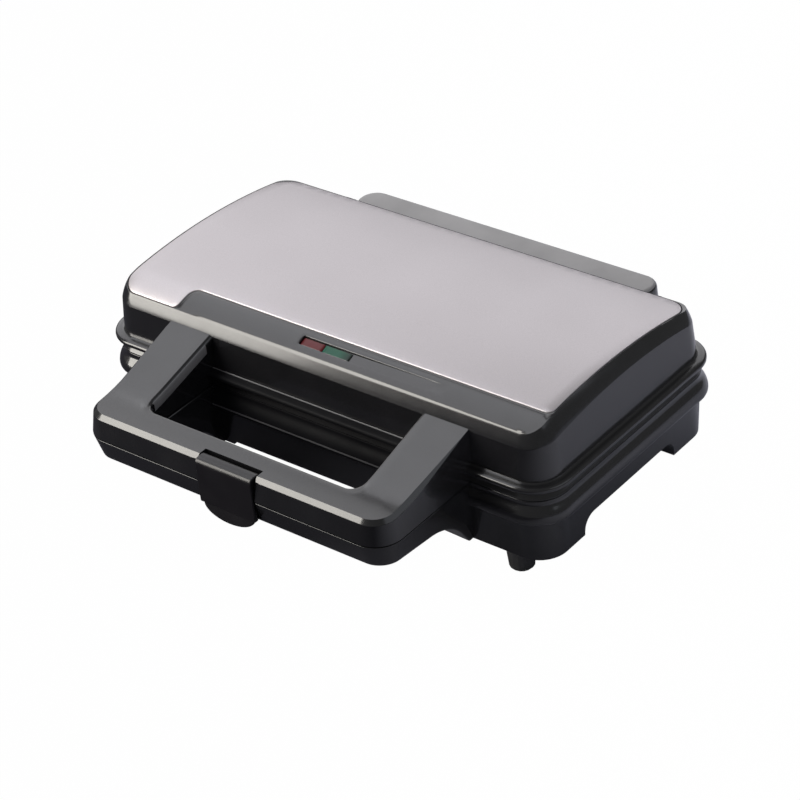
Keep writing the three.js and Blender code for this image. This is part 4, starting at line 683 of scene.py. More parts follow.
# Heating elements and heat shields
# A bent tubular heater with ceramic ends is pressed under each plate, and a shield of pressed steel sheet
# behind it keeps the heat off the housing.
oxidised_steel = plain_finish(
    "oxidised_steel", dark=(0.12, 0.1, 0.085), light=(0.2, 0.18, 0.16),
    rough=(0.4, 0.6), metallic=1, grain=500, relief=0.2,
)
pressed_steel = plain_finish(
    "pressed_steel", dark=(0.5, 0.5, 0.5), light=(0.6, 0.6, 0.6),
    rough=(0.28, 0.42), metallic=1, grain=300, relief=0.1,
)
keep_shape(oxidised_steel, "lower_heating_element", "upper_heating_element")
keep_shape(pressed_steel, "lower_heat_shield", "upper_heat_shield")


# Thermostat, fuse and terminal block
# The steel-cased thermostat and the ceramic fuse sit against the lower plate; the ceramic block in the
# hinge block takes the mains wires.
plated_steel = plain_finish(
    "plated_steel", dark=(0.55, 0.55, 0.54), light=(0.66, 0.66, 0.65),
    rough=(0.18, 0.3), metallic=1, grain=900, relief=0.08,
)
pale_ceramic = plain_finish(
    "pale_ceramic", dark=(0.62, 0.58, 0.5), light=(0.72, 0.69, 0.6),
    rough=(0.45, 0.6), metallic=0, grain=900, relief=0.2,
)
keep_shape(plated_steel, "thermostat")
keep_shape(pale_ceramic, "thermal_fuse", "terminal_block")


# Bottom cover and handle covers
# Grained black mouldings: one closes the base from below, two close the handle halves at the seam, and
# each is held by screws.
cover_plastic = plain_finish(
    "cover_plastic", dark=(0.011, 0.011, 0.012), light=(0.018, 0.018, 0.019),
    rough=(0.42, 0.55), metallic=0, grain=1400, relief=0.3,
)
keep_shape(cover_plastic, "bottom_cover", "lower_handle_cover", "upper_handle_cover")


# Lid housing
# The black moulded upper half: seam flange, bead, crowned wall, control strip and upper half of the handle.
# Injection moulded glossy plastic; a recess in its top takes the sheet panel, and two ears at the back turn
# on the hinge pins.
CROWN = 84.59
CROWN_Y = 58.4
ARCH_RADIUS = 347.0
BROW_RADIUS = 35.0
BROW_Y = 22.0
EDGE_CROWN = 77.8
EDGE_RADIUS = 300.0
RIM_SIDE = 8.9
RIM_FRONT = 7.0
RIM_BACK = 5.6
PANEL_SIDE = 9.5
PANEL_FRONT = 7.6
PANEL_BACK = 6.2
PANEL_PROUD = 0.2
BROW_TURN = math.asin((CROWN_Y - BROW_Y) / ARCH_RADIUS)
BROW_CENTRE_Y = CROWN_Y - (ARCH_RADIUS - BROW_RADIUS) * math.sin(BROW_TURN)
BROW_CENTRE_Z = CROWN - ARCH_RADIUS + (ARCH_RADIUS - BROW_RADIUS) * math.cos(BROW_TURN)


def arch(y):
    """Height of the lid's crown from front to back, with the brow that rolls over the front."""
    if y > BROW_Y:
        return CROWN - ARCH_RADIUS + math.sqrt(ARCH_RADIUS**2 - (y - CROWN_Y) ** 2)
    return BROW_CENTRE_Z + math.sqrt(BROW_RADIUS**2 - (y - BROW_CENTRE_Y) ** 2)


def lid_surface(y):
    """Height of the housing's own top, under which the panel is let in."""
    return arch(y) - PANEL_PROUD


def lid_edge(y):
    """Height of the wall's top edge."""
    return EDGE_CROWN - EDGE_RADIUS + math.sqrt(EDGE_RADIUS**2 - (y - BODY_DEPTH / 2) ** 2)


# The bevel leaves the wall's top at a crisp edge and leans over a little more on its way to the rim.
WALL_TOP_INSET = 4.5
BEVEL_START = math.radians(24)
BEVEL_END = math.radians(44)
BEVEL_STEPS = 8
BEVEL_SUPPORT = 0.03


def bevel_shares():
    """Shares of the bevel's width and height along the arc of its section."""
    shares = []
    for t in [BEVEL_SUPPORT] + [(i + 1) / BEVEL_STEPS for i in range(BEVEL_STEPS)]:
        lean = BEVEL_START + (BEVEL_END - BEVEL_START) * t
        inset = (math.cos(BEVEL_START) - math.cos(lean)) / (math.cos(BEVEL_START) - math.cos(BEVEL_END))
        height = (math.sin(lean) - math.sin(BEVEL_START)) / (math.sin(BEVEL_END) - math.sin(BEVEL_START))
        shares.append((inset, height))
    return shares


def bevel_ring(inset_share, height_share):
    """A ring of the bevel between the wall and the rim of the panel's recess."""
    side, front, back = (
        WALL_TOP_INSET + (rim - WALL_TOP_INSET) * inset_share for rim in (RIM_SIDE, RIM_FRONT, RIM_BACK)
    )

    def height(y):
        low = lid_edge(y)
        return low + (lid_surface(y) - low) * height_share

    return plan_ring(
        BODY_HALF - side, front, BODY_DEPTH - back, BODY_CORNER - side, height, SIDE_YS, ARM_XS
    )


# Sections of the lid's wall: inset and rise at the seam, inset and height of the bead, shares of the wall.
UPPER_SEAM_EDGE = [(1.5, 0.0), (1.22, 0.12), (1.16, 0.4)]
BEAD = [
    (1.32, 46.8), (1.62, 47.5), (2.0, 48.3), (2.4, 49.2), (2.75, 50.0), (2.9, 50.5), (2.5, 50.85),
    (1.2, 50.98), (-0.6, 51.12), (-1.22, 51.42), (-1.52, 51.95), (-1.6, 52.6), (-1.52, 53.2),
    (-1.22, 53.75), (-0.5, 54.1), (1.2, 54.3), (2.5, 54.42), (2.92, 54.75), (2.98, 55.2),
]
WALL_FOOT_INSET, WALL_FOOT = BEAD[-1]
WALL_SHARES = (0.33, 0.66, 0.93, 0.99, 1.0)


def upper_skin_rings():
    """From the plate's ledge inside, over the seam, flange, bead and wall, up to the recess rim."""
    foot = SEAM + SEAM_GAP / 2
    rings = [
        body_ring(THROAT_INSET, SEAM + THROAT_DROP),
        body_ring(THROAT_INSET, SEAM + SEAT_DROP),
        body_ring(SEAT_INSET, SEAM + SEAT_DROP),
        body_ring(SEAT_INSET, foot),
    ]
    rings += [body_ring(inset, foot + rise) for inset, rise in UPPER_SEAM_EDGE]
    rings += [body_ring(inset, height) for inset, height in BEAD]
    for share in WALL_SHARES:
        inset = WALL_FOOT_INSET + (WALL_TOP_INSET - WALL_FOOT_INSET) * share
        rings.append(body_ring(inset, lambda y, s=share: WALL_FOOT + (lid_edge(y) - WALL_FOOT) * s))
    return rings + [bevel_ring(*shares) for shares in bevel_shares()]


def rounded_outline(corners, steps=10):
    """A closed outline with each corner rounded by its own radius: corners are x, y, radius."""
    points = []
    total = len(corners)
    for i, (x, y, radius) in enumerate(corners):
        corner = Vector((x, y))
        before = (Vector(corners[i - 1][:2]) - corner).normalized()
        after = (Vector(corners[(i + 1) % total][:2]) - corner).normalized()
        half_angle = math.acos(max(-1.0, min(1.0, before.dot(after)))) / 2
        start = corner + before * (radius / math.tan(half_angle))
        end = corner + after * (radius / math.tan(half_angle))
        centre = corner + (before + after).normalized() * (radius / math.sin(half_angle))
        angle = math.atan2(start.y - centre.y, start.x - centre.x)
        sweep = math.atan2(end.y - centre.y, end.x - centre.x) - angle
        if sweep > math.pi:
            sweep -= 2 * math.pi
        if sweep < -math.pi:
            sweep += 2 * math.pi
        for k in range(steps + 1):
            turn = angle + sweep * k / steps
            points.append((centre.x + radius * math.cos(turn), centre.y + radius * math.sin(turn)))
    return points


NOTCH_DEPTH = 12.9
NOTCH_SIDE = 85.0
NOTCH_FLARE = 2.0
NOTCH_CORNER = 6.0
PANEL_REAR_CORNER = 12.0
PANEL_LEFT_CORNER = 8.5
PANEL_TIGHT_CORNER = 3.0


def panel_outline(grow):
    """The sheet panel's outline: a tab at the left front, then the notch for the control strip."""
    side = BODY_HALF - PANEL_SIDE + grow
    front = PANEL_FRONT - grow
    back = BODY_DEPTH - PANEL_BACK + grow
    notch = PANEL_FRONT + NOTCH_DEPTH - grow
    return rounded_outline(
        [
            (side, back, PANEL_REAR_CORNER + grow),
            (-side, back, PANEL_REAR_CORNER + grow),
            (-side, front, PANEL_LEFT_CORNER + grow),
            (-NOTCH_SIDE - NOTCH_FLARE + grow, front, PANEL_TIGHT_CORNER + grow),
            (-NOTCH_SIDE + grow, notch, NOTCH_CORNER - grow),
            (side, notch, PANEL_TIGHT_CORNER + grow),
        ]
    )


def subdivide(loop, longest, model=None):
    """Adds points to a closed loop, where the model of equal count has edges longer than a limit."""
    model = model or loop
    dense = []
    for i, (x, y) in enumerate(loop):
        nx, ny = loop[(i + 1) % len(loop)]
        mx, my = model[i]
        ex, ey = model[(i + 1) % len(model)]
        parts = max(1, math.ceil(math.hypot(ex - mx, ey - my) / longest))
        for k in range(parts):
            dense.append((x + (nx - x) * k / parts, y + (ny - y) * k / parts))
    return dense


def inside(point, loop):
    """True if a point lies in a closed loop."""
    x, y = point
    odd = False
    for i, (ax, ay) in enumerate(loop):
        bx, by = loop[i - 1]
        if (ay > y) != (by > y) and x < (bx - ax) * (y - ay) / (by - ay) + ax:
            odd = not odd
    return odd


def edge_distance(point, loop):
    """How far a point lies from a loop's nearest edge."""
    best = 1e9
    for i, a in enumerate(loop):
        b = loop[i - 1]
        ab = (b[0] - a[0], b[1] - a[1])
        length = ab[0] ** 2 + ab[1] ** 2
        if length < 1e-12:
            continue
        t = ((point[0] - a[0]) * ab[0] + (point[1] - a[1]) * ab[1]) / length
        t = max(0.0, min(1.0, t))
        best = min(best, math.hypot(point[0] - a[0] - ab[0] * t, point[1] - a[1] - ab[1] * t))
    return best


def add_patch(bm, outer, holes, height, grid_xs, grid_ys, clear):
    """A curved sheet between an outline and its holes, with a grid of points clear of both."""
    points, edges = [], []
    for loop in (outer, *holes):
        start = len(points)
        points += [Vector(p[:2]) for p in loop]
        edges += [(start + i, start + (i + 1) % len(loop)) for i in range(len(loop))]
    for x in grid_xs:
        for y in grid_ys:
            point = (x, y)
            if not inside(point, outer) or edge_distance(point, outer) < clear:
                continue
            if any(inside(point, hole) or edge_distance(point, hole) < clear for hole in holes):
                continue
            points.append(Vector(point))
    verts, _, faces, *_ = delaunay_2d_cdt(points, edges, [], 0, 1e-5)
    made = [bm.verts.new((v.x, v.y, height(v.y))) for v in verts]
    for face in faces:
        x = sum(verts[i].x for i in face) / len(face)
        y = sum(verts[i].y for i in face) / len(face)
        if inside((x, y), outer) and not any(inside((x, y), hole) for hole in holes):
            bm.faces.new([made[i] for i in face])


def spaced(start, end, step):
    """Values from start to end, step apart."""
    return [start + step * i for i in range(int((end - start) / step) + 1)]


SCOOP_START = -13.6
SCOOP_END = 70.0
SCOOP_MIDDLE = 13.6
SCOOP_WIDTH = 4.8
SCOOP_DEPTH = 1.7
SCOOP_RISE = 0.4
SCOOP_RUN_OUT = 0.03
SCOOP_CORNER = 0.6
SCOOP_END_CORNER = 0.4
GREEN_END = 15.6


def scoop_depth(x):
    """Depth of the lamp scoop, which runs out to the right."""
    if x < GREEN_END:
        share = (x - SCOOP_START) / (GREEN_END - SCOOP_START)
        return SCOOP_DEPTH * (1 - SCOOP_RISE * max(share, 0.0))
    end_depth = SCOOP_DEPTH * (1 - SCOOP_RISE)
    return max(end_depth * (SCOOP_END - x) / (SCOOP_END - GREEN_END), SCOOP_RUN_OUT)


def scoop_outline(grow):
    """The long lamp window in the control strip."""
    front = SCOOP_MIDDLE - SCOOP_WIDTH / 2 - grow
    back = SCOOP_MIDDLE + SCOOP_WIDTH / 2 + grow
    return rounded_outline(
        [
            (SCOOP_START - grow, front, SCOOP_CORNER + grow),
            (SCOOP_END, front, SCOOP_END_CORNER),
            (SCOOP_END, back, SCOOP_END_CORNER),
            (SCOOP_START - grow, back, SCOOP_CORNER + grow),
        ],
        4,
    )


# The rolled lips of recess and scoop: growth of the outline and drop under the lid's surface.
RECESS_GROW = 0.57
RECESS_LIP = [(0.49, 0.04), (0.45, 0.14), (0.45, 1.7)]
RECESS_POINT_GAP = 4.0
SCOOP_GROW = 0.2
SCOOP_LIP = [(0.06, 0.06), (0.0, 0.2)]
SCOOP_POINT_GAP = 3.0
STRIP_XS = spaced(-84.0, 122.0, 4.0)
STRIP_YS = spaced(8.0, 20.0, 1.2)
STRIP_CLEAR = 0.5


def add_control_strip(bm, rim):
    """The strip of the lid's top left free by the panel, with the rolled lips of recess and scoop."""
    recess = panel_outline(RECESS_GROW)
    scoop = scoop_outline(SCOOP_GROW)
    lip = subdivide(recess, RECESS_POINT_GAP)
    window = subdivide(scoop, SCOOP_POINT_GAP)
    add_patch(bm, [p[:2] for p in rim], (lip, window), lid_surface, STRIP_XS, STRIP_YS, STRIP_CLEAR)
    lip_rings = [[(x, y, lid_surface(y)) for x, y in lip]]
    for grow, drop in RECESS_LIP:
        loop = subdivide(panel_outline(grow), RECESS_POINT_GAP, recess)
        lip_rings.append([(x, y, lid_surface(y) - drop) for x, y in loop])
    add_loft(bm, lip_rings)
    window_rings = [[(x, y, lid_surface(y)) for x, y in window]]
    for grow, drop in SCOOP_LIP:
        loop = subdivide(scoop_outline(grow), SCOOP_POINT_GAP, scoop)
        window_rings.append([(x, y, lid_surface(y) - min(drop, scoop_depth(x))) for x, y in loop])
    floor = [(x, y, lid_surface(y) - scoop_depth(x)) for x, y, _ in window_rings[-1]]
    made = add_loft(bm, [*window_rings, floor])
    bmesh.ops.triangulate(bm, faces=[bm.faces.new(made[-1])])


GRIP_TOP = 58.5
RISE_START = -56.0
RISE_END = -30.0
RISE_SLOPE = 0.275


def grip_top(y):
    """Height of the handle's top: level in front, rising toward the lid."""
    if y < RISE_START:
        return GRIP_TOP
    if y < RISE_END:
        return GRIP_TOP + RISE_SLOPE * (y - RISE_START) ** 2 / (2 * (RISE_END - RISE_START))
    return GRIP_TOP + RISE_SLOPE * (y - (RISE_START + RISE_END) / 2)


# The chamfer starts as a point at the lid and grows to its full width along the arm.
TOP_DRAFT = 1.7
CHAMFER = 2.1
CHAMFER_DROP = 0.95
CHAMFER_POINT = 0.04
CHAMFER_START = 2.0
CHAMFER_RUN = 36.0


def chamfer(y):
    """Width of the bright chamfer along the handle's outer edge."""
    return CHAMFER * max(CHAMFER_POINT, min(1.0, (CHAMFER_START - y) / CHAMFER_RUN))


def chamfer_foot():
    """The chamfer's lower edge."""
    return [(x, y, grip_top(y) - chamfer(y) * CHAMFER_DROP) for x, y, _ in outer_line(TOP_DRAFT, grip_top)]


def chamfer_crest():
    """The chamfer's upper edge, drawn in square to the outline."""
    ring = []
    for x, y, _ in outer_line(TOP_DRAFT, grip_top):
        share = min(1.0, max(0.0, (y + GRIP_FRONT - TOP_DRAFT) / (GRIP_CORNER - TOP_DRAFT)))
        angle = math.asin(min(1.0, max(-1.0, 1 - share)))
        corner = abs(x) > GRIP_HALF - GRIP_CORNER
        dx = chamfer(y) * (math.cos(angle) if corner else 0.0)
        dy = chamfer(y) * (math.sin(angle) if corner else 1.0)
        px, py = x - math.copysign(dx, x), y + dy
        ring.append((px, py, grip_top(py)))
    return ring


def mixed(a, b, share):
    """A line part of the way from one outline to another."""
    return [tuple(m + (n - m) * share for m, n in zip(p, q)) for p, q in zip(a, b)]


RECESS_REACH = 20.5
RECESS_STRETCH = 2.0


def set_back(line):
    """Moves the front stretch of a line on the handle's top to the back of the clip's recess."""
    front = min(line, key=lambda point: abs(point[0]))[1]
    moved = []
    for x, y, z in line:
        if y < front + RECESS_STRETCH:
            y = -CLIP_RECESS_BACK if abs(x) <= RECESS_REACH else y
            z = grip_top(y)
        moved.append((x, y, z))
    return moved


# Sections of the upper half: support lines beside the chamfer, shares of the broad top, then growth of the
# opening and drop under the top for the band inside it, which ends in a small step.
WALL_SUPPORT = 0.97
CHAMFER_SUPPORT = 0.08
TOP_GROW = 2.1
TOP_SHARES = (0.04, 0.34, 0.5, 0.67, 0.84)
BAND = [(1.5, 0.1), (0.95, 0.38), (0.45, 0.85), (0.12, 1.45), (0.0, 2.1), (0.0, 5.7), (0.15, 6), (0.9, 6.1)]
BAND_FOOT_GROW = 0.9
BAND_SEAM_GROW = 1.2
UPPER_SEAM_BREAK = 0.35
CLIP_STEP = 48.5


def add_upper_grip(bm):
    """The upper half of the handle: seam edge, drafted sides, chamfer and broad top."""
    foot = SEAM + SEAM_GAP / 2
    seat = foot + COVER_SEAT
    wall_foot = outer_line(0.0, foot + UPPER_SEAM_BREAK)
    edge_low = chamfer_foot()
    edge_top = chamfer_crest()
    top_inner = inner_line(TOP_GROW, grip_top)
    rows = [
        outer_line(GRIP_SEAM_WIDTH, seat),
        outer_line(GRIP_SEAM_WIDTH, foot),
        outer_line(UPPER_SEAM_BREAK, foot),
        wall_foot,
        mixed(wall_foot, edge_low, WALL_SUPPORT),
        edge_low,
        mixed(edge_low, edge_top, CHAMFER_SUPPORT),
        edge_top,
    ]
    recess_row = len(rows) + 1
    rows += [between(edge_top, top_inner, share, grip_top) for share in TOP_SHARES]
    rows.append(top_inner)
    rows += [inner_line(grow, lambda y, d=drop: grip_top(y) - d) for grow, drop in BAND]
    rows += [
        inner_line(BAND_FOOT_GROW, foot + UPPER_SEAM_BREAK),
        inner_line(BAND_SEAM_GROW, foot),
        inner_line(GRIP_SEAM_WIDTH, foot),
        inner_line(GRIP_SEAM_WIDTH, seat),
    ]
    rows[recess_row] = set_back(rows[recess_row])
    made = add_grip_half(bm, rows)
    cut_window(bm, made, first_row=1, last_row=recess_row)
    front_top = grip_top(-GRIP_FRONT)
    front = [
        (-GRIP_FRONT + UPPER_SEAM_BREAK, foot),
        (-GRIP_FRONT, foot + UPPER_SEAM_BREAK),
        (-GRIP_FRONT + TOP_DRAFT, front_top - CHAMFER * CHAMFER_DROP),
        (-GRIP_FRONT + TOP_DRAFT + CHAMFER, front_top),
    ]
    pocket = [
        (-CLIP_RECESS_BACK, grip_top(-CLIP_RECESS_BACK)),
        (-CLIP_RECESS_BACK, CLIP_STEP),
        (-CLIP_LOWER_BACK, CLIP_STEP),
        (-CLIP_LOWER_BACK, foot),
    ]
    line_recess(bm, front + pocket, pocket + [(-GRIP_FRONT + GRIP_SEAM_WIDTH, foot)])


HINGE_Y = 143.0
HINGE_Z = 62.0
EAR_INNER = 90.3
EAR_OUTER = 95.7
EAR_RADIUS = 5.0
EAR_ROOT = 134.0
EAR_ROOT_DROP = 6.0
EAR_STEPS = 13


def add_ears(bm):
    """Two rounded lugs on the back wall that the hinge pins run through."""
    profile = [(EAR_ROOT, HINGE_Z - EAR_ROOT_DROP), (HINGE_Y, HINGE_Z - EAR_RADIUS)]
    for i in range(1, EAR_STEPS + 1):
        turn = -math.pi / 2 + math.pi * i / EAR_STEPS
        profile.append((HINGE_Y + EAR_RADIUS * math.cos(turn), HINGE_Z + EAR_RADIUS * math.sin(turn)))
    profile.append((EAR_ROOT, HINGE_Z + EAR_RADIUS))
    for ends in ((EAR_INNER, EAR_OUTER), (-EAR_OUTER, -EAR_INNER)):
        add_solid(bm, [[(x, y, z) for y, z in profile] for x in ends])


# The band inside the handle that gets the painted sheen, and the part of the front wall that gets painted
# shade and the part that gets a painted highlight line.
ARM_BAND_XS = (OPENING_HALF - 0.2, OPENING_HALF + 1.1)
ARM_BAND_BACK = -1.0
ARM_BAND_DROPS = (0.9, 6.3)
WALL_PAINTED_SHADE = ((-3.0, 8.0), (SEAM, 55.3))
BEAD_PAINTED_HIGHLIGHT = ((0.0, 4.0), (54.5, 54.65))
LID_SOFT_EDGE = 0.22


def is_arm_band(x, y, z):
    """True on the upright band just inside the handle's opening."""
    inner = ARM_BAND_XS[0] < abs(x) < ARM_BAND_XS[1] and y < ARM_BAND_BACK
    return inner and ARM_BAND_DROPS[0] < grip_top(y) - z < ARM_BAND_DROPS[1]


def make_lid_housing():
    bm = bmesh.new()
    rings = upper_skin_rings()
    add_loft(bm, rings)
    add_control_strip(bm, rings[-1])
    add_upper_grip(bm)
    add_ears(bm)
    obj = finish_mesh(bm, "lid_shell", "lid", "lid_housing", bevel=LID_SOFT_EDGE)
    obj.data.materials.append(black_plastic)
    # Painted shade on the lid's front wall between the handle's arms.
    paint_faces(obj, painted_shade_plastic, front_wall(*WALL_PAINTED_SHADE))
    # Painted highlight line on the bead's top between the arms.
    paint_faces(obj, painted_highlight_plastic, front_wall(*BEAD_PAINTED_HIGHLIGHT))
    # Painted sheen on the band just inside the handle's opening.
    paint_faces(obj, painted_sheen_plastic, is_arm_band)


make_lid_housing()


# Sheet panel
# A thin silver lacquered sheet, bent to the crown of the lid and dropped into the recess of the housing.
# It is stamped, so its edge is rolled down a little and catches the light along the notch.
PANEL_THICK = 1.2
PANEL_TOP_GROW = -0.4
PANEL_ROLL = [(-0.2, 0.06), (-0.06, 0.2), (0.0, 0.45), (0.0, PANEL_THICK)]
PANEL_XS = spaced(-124.0, 124.0, 8.0)
PANEL_YS = spaced(8.5, 22.0, 1.5) + spaced(24.0, 132.0, 3.0)
PANEL_CLEAR = 0.6


def silver_lacquer():
    """Silver lacquer: very fine metal flake under a satin skin."""
    material, nodes, links, shader, where = node_material("silver_lacquer")
    flake = noise(nodes, links, where, scale=2600, detail=2)
    shade = two_tone(nodes, links, flake, dark=(0.64, 0.605, 0.62), light=(0.7, 0.66, 0.68))
    links.new(shade, shader.inputs["Base Color"])
    gloss = spread(nodes, links, noise(nodes, links, where, scale=22, detail=4), 0.34, 0.4)
    links.new(gloss, shader.inputs["Roughness"])
    skin = noise(nodes, links, where, scale=1800, detail=2)
    bump(nodes, links, skin, shader, strength=0.03, distance=0.1 * MM)
    shader.inputs["Metallic"].default_value = 0.75
    return material


def make_panel():
    bm = bmesh.new()
    outline = panel_outline(PANEL_TOP_GROW)
    top = subdivide(outline, RECESS_POINT_GAP)
    add_patch(bm, top, (), arch, PANEL_XS, PANEL_YS, PANEL_CLEAR)
    rings = [[(x, y, arch(y)) for x, y in top]]
    for grow, drop in PANEL_ROLL:
        loop = subdivide(panel_outline(grow), RECESS_POINT_GAP, outline)
        rings.append([(x, y, arch(y) - drop) for x, y in loop])
    add_loft(bm, rings)
    obj = finish_mesh(bm, "panel_sheet", "lid", "top_panel", bevel=0, sharp=60)
    obj.data.materials.append(silver_lacquer())


make_panel()


# Lamp lenses
# Two small windows of clear plastic in the scoop of the control strip, red on the left and green beside it.
# Each is moulded with a slightly domed top and pressed in from below, over its lamp.
RED_SPAN = (-13.3, -0.7)
GREEN_SPAN = (-0.4, GREEN_END)
LENS_FRONT = 11.5
LENS_BACK = 15.7
LENS_CORNER = 0.5
LENS_FOOT_DROP = 3.9
LENS_DOME = [(1.0, 1.05), (0.98, 0.9), (0.94, 0.8), (0.7, 0.74), (0.3, 0.7)]
# Painted shade: between these x positions the lenses' colour darkens towards this near black.
PAINTED_SHADE_START = 9.0
PAINTED_SHADE_END = GREEN_END
PAINTED_SHADE_COLOUR = (0.012, 0.013, 0.013, 1)


def lens_plastic(name, dark, light):
    """Tinted clear plastic with fine ribs inside that scatter the light, with painted shade that darkens it
    towards the right, where the scoop runs out.
    """
    material, nodes, links, shader, where = node_material(name)
    wave = nodes.new("ShaderNodeTexWave")
    wave.inputs["Scale"].default_value = 420
    links.new(where, wave.inputs["Vector"])
    apart = nodes.new("ShaderNodeSeparateXYZ")
    links.new(where, apart.inputs["Vector"])
    painted_shade = spread(nodes, links, apart.outputs["X"], 0, 1, PAINTED_SHADE_START * MM, PAINTED_SHADE_END * MM)
    tint = nodes.new("ShaderNodeMix")
    tint.data_type = "RGBA"
    tint.inputs["B"].default_value = PAINTED_SHADE_COLOUR
    links.new(painted_shade, tint.inputs["Factor"])
    links.new(two_tone(nodes, links, wave.outputs["Fac"], dark, light), tint.inputs["A"])
    links.new(tint.outputs["Result"], shader.inputs["Base Color"])
    skin = noise(nodes, links, where, scale=900, detail=2)
    bump(nodes, links, skin, shader, strength=0.05, distance=0.2 * MM)
    shader.inputs["Roughness"].default_value = 0.16
    shader.inputs["Transmission Weight"].default_value = 0.15
    shader.inputs["Specular IOR Level"].default_value = 0.4
    return material


def make_lens(name, span, material):
    bm = bmesh.new()
    places = ((span[0], LENS_FRONT), (span[1], LENS_FRONT), (span[1], LENS_BACK), (span[0], LENS_BACK))
    outline = rounded_outline([(*place, LENS_CORNER) for place in places], 4)
    centre = ((span[0] + span[1]) / 2, SCOOP_MIDDLE)
    rings = [[(x, y, arch(y) - LENS_FOOT_DROP) for x, y in outline]]
    for share, drop in LENS_DOME:
        ring = []
        for x, y in outline:
            px, py = centre[0] + (x - centre[0]) * share, centre[1] + (y - centre[1]) * share
            ring.append((px, py, lid_surface(py) - drop))
        rings.append(ring)
    made = add_loft(bm, rings)
    bm.faces.new(made[-1])
    bm.faces.new(list(reversed(made[0])))
    obj = finish_mesh(bm, name + "_window", "lid", name, bevel=0, sharp=50)
    obj.data.materials.append(material)


clear_red = lens_plastic("clear_red", dark=(0.13, 0.011, 0.015), light=(0.19, 0.017, 0.022))
clear_green = lens_plastic("clear_green", dark=(0.008, 0.1, 0.06), light=(0.014, 0.15, 0.09))
make_lens("red_lens", RED_SPAN, clear_red)
make_lens("green_lens", GREEN_SPAN, clear_green)


# Lamps and lamp board
# Two small neon lamps with glass bulbs stand on a board under the lenses. The board is a plate of the
# same plastic as the covers, fixed inside the lid.
lamp_glass = plain_finish(
    "lamp_glass", dark=(0.5, 0.45, 0.38), light=(0.62, 0.56, 0.48),
    rough=(0.08, 0.15), metallic=0, grain=300, relief=0.02,
)
keep_shape(lamp_glass, "red_lamp", "green_lamp")
keep_shape(cover_plastic, "lamp_board")


# Latch clip
# The black clip that swings on a pin in the handle's front: barrel, face plate and a thumb tab.
# Moulded in one piece from a plastic that is a little less glossy than the housings.
CLIP_HALF = 16.5
CLIP_FACE = 62.6
CLIP_THICK = 2.4
CLIP_PIN_Y = 57.8
CLIP_PIN_Z = 55.0
CLIP_SHOULDER = 1.0
CLIP_BARREL = 3.5
CLIP_BOTTOM = 35.2
CLIP_SQUARE = 0.5
CLIP_STEPS = 12
CLIP_SOFT_EDGE = 0.5
TAB_HALF = 15.0
TAB_LENGTH = 6.6
TAB_OVERLAP = 0.6
TAB_THICK = 1.7
TAB_LEAN = 0.16
TAB_STEPS = 24


def clip_profile():
    """The clip's section as y and z: up the face, over the square shoulder, round the barrel, down again."""
    face = -CLIP_FACE
    shoulder = CLIP_PIN_Z - CLIP_SHOULDER
    profile = [(face + CLIP_THICK, CLIP_BOTTOM), (face, CLIP_BOTTOM), (face, shoulder)]
    for turn in quarter(CLIP_STEPS, first=1):
        across = (CLIP_FACE - CLIP_PIN_Y) * math.cos(turn) ** CLIP_SQUARE
        rise = (CLIP_BARREL + CLIP_SHOULDER) * math.sin(turn) ** CLIP_SQUARE
        profile.append((-CLIP_PIN_Y - across, shoulder + rise))
    for i in range(1, CLIP_STEPS + 1):
        turn = math.pi / 2 - math.pi * i / CLIP_STEPS
        across, rise = CLIP_BARREL * math.cos(turn), CLIP_BARREL * math.sin(turn)
        profile.append((-CLIP_PIN_Y + across, CLIP_PIN_Z + rise))
    profile.append((face + CLIP_THICK, CLIP_PIN_Z - CLIP_BARREL - CLIP_THICK))
    return profile


def make_clip():
    bm = bmesh.new()
    add_solid(bm, [[(x, y, z) for y, z in clip_profile()] for x in (-CLIP_HALF, CLIP_HALF)])
    tab = [(TAB_HALF, TAB_OVERLAP), (-TAB_HALF, TAB_OVERLAP)]
    for i in range(TAB_STEPS + 1):
        turn = math.pi + math.pi * i / TAB_STEPS
        tab.append((TAB_HALF * math.cos(turn), TAB_LENGTH * math.sin(turn)))
    back = -CLIP_FACE + CLIP_THICK
    rings = []
    for depth in (0.0, TAB_THICK):
        rings.append([(x, back - depth + z * TAB_LEAN, CLIP_BOTTOM + z) for x, z in tab])
    add_solid(bm, rings)
    obj = finish_mesh(bm, "clip", "latch", "latch_clip", bevel=CLIP_SOFT_EDGE, segments=3)
    clip_plastic = moulded_black(
        "clip_plastic", dark=(0.009, 0.008, 0.01), light=(0.012, 0.011, 0.0135),
        rough=(0.3, 0.38), coat=0.25, grain=900, relief=0.06,
    )
    obj.data.materials.append(clip_plastic)


make_clip()


# Pins and screws
# Plated steel: two hinge pins pressed into the base, the pin that carries the clip, and the screws of
# plates, shields, handle covers and bottom cover.
keep_shape(plated_steel, "hinge_pin_left", "hinge_pin_right", "latch_pin")
for level in ("lower", "upper"):
    for end in ("front", "rear"):
        keep_shape(plated_steel, f"{level}_plate_screw_{end}", f"{level}_shield_screw_{end}")
    for side in ("left", "right"):
        keep_shape(plated_steel, f"{level}_handle_screw_{side}")
for number in (1, 2, 3, 4):
    keep_shape(plated_steel, f"cover_screw_{number}")


# Feet and cord gland
# Moulded rubber feet pushed into the base, two in front and two under the hinge block, and the rubber
# gland that lines the cord's hole.
black_rubber = plain_finish(
    "black_rubber", dark=(0.07, 0.07, 0.073), light=(0.1, 0.1, 0.104),
    rough=(0.6, 0.75), metallic=0, grain=1200, relief=0.35,
)
for end in ("front", "rear"):
    for side in ("left", "right"):
        keep_shape(black_rubber, f"{end}_{side}_foot")
keep_shape(black_rubber, "cord_gland")


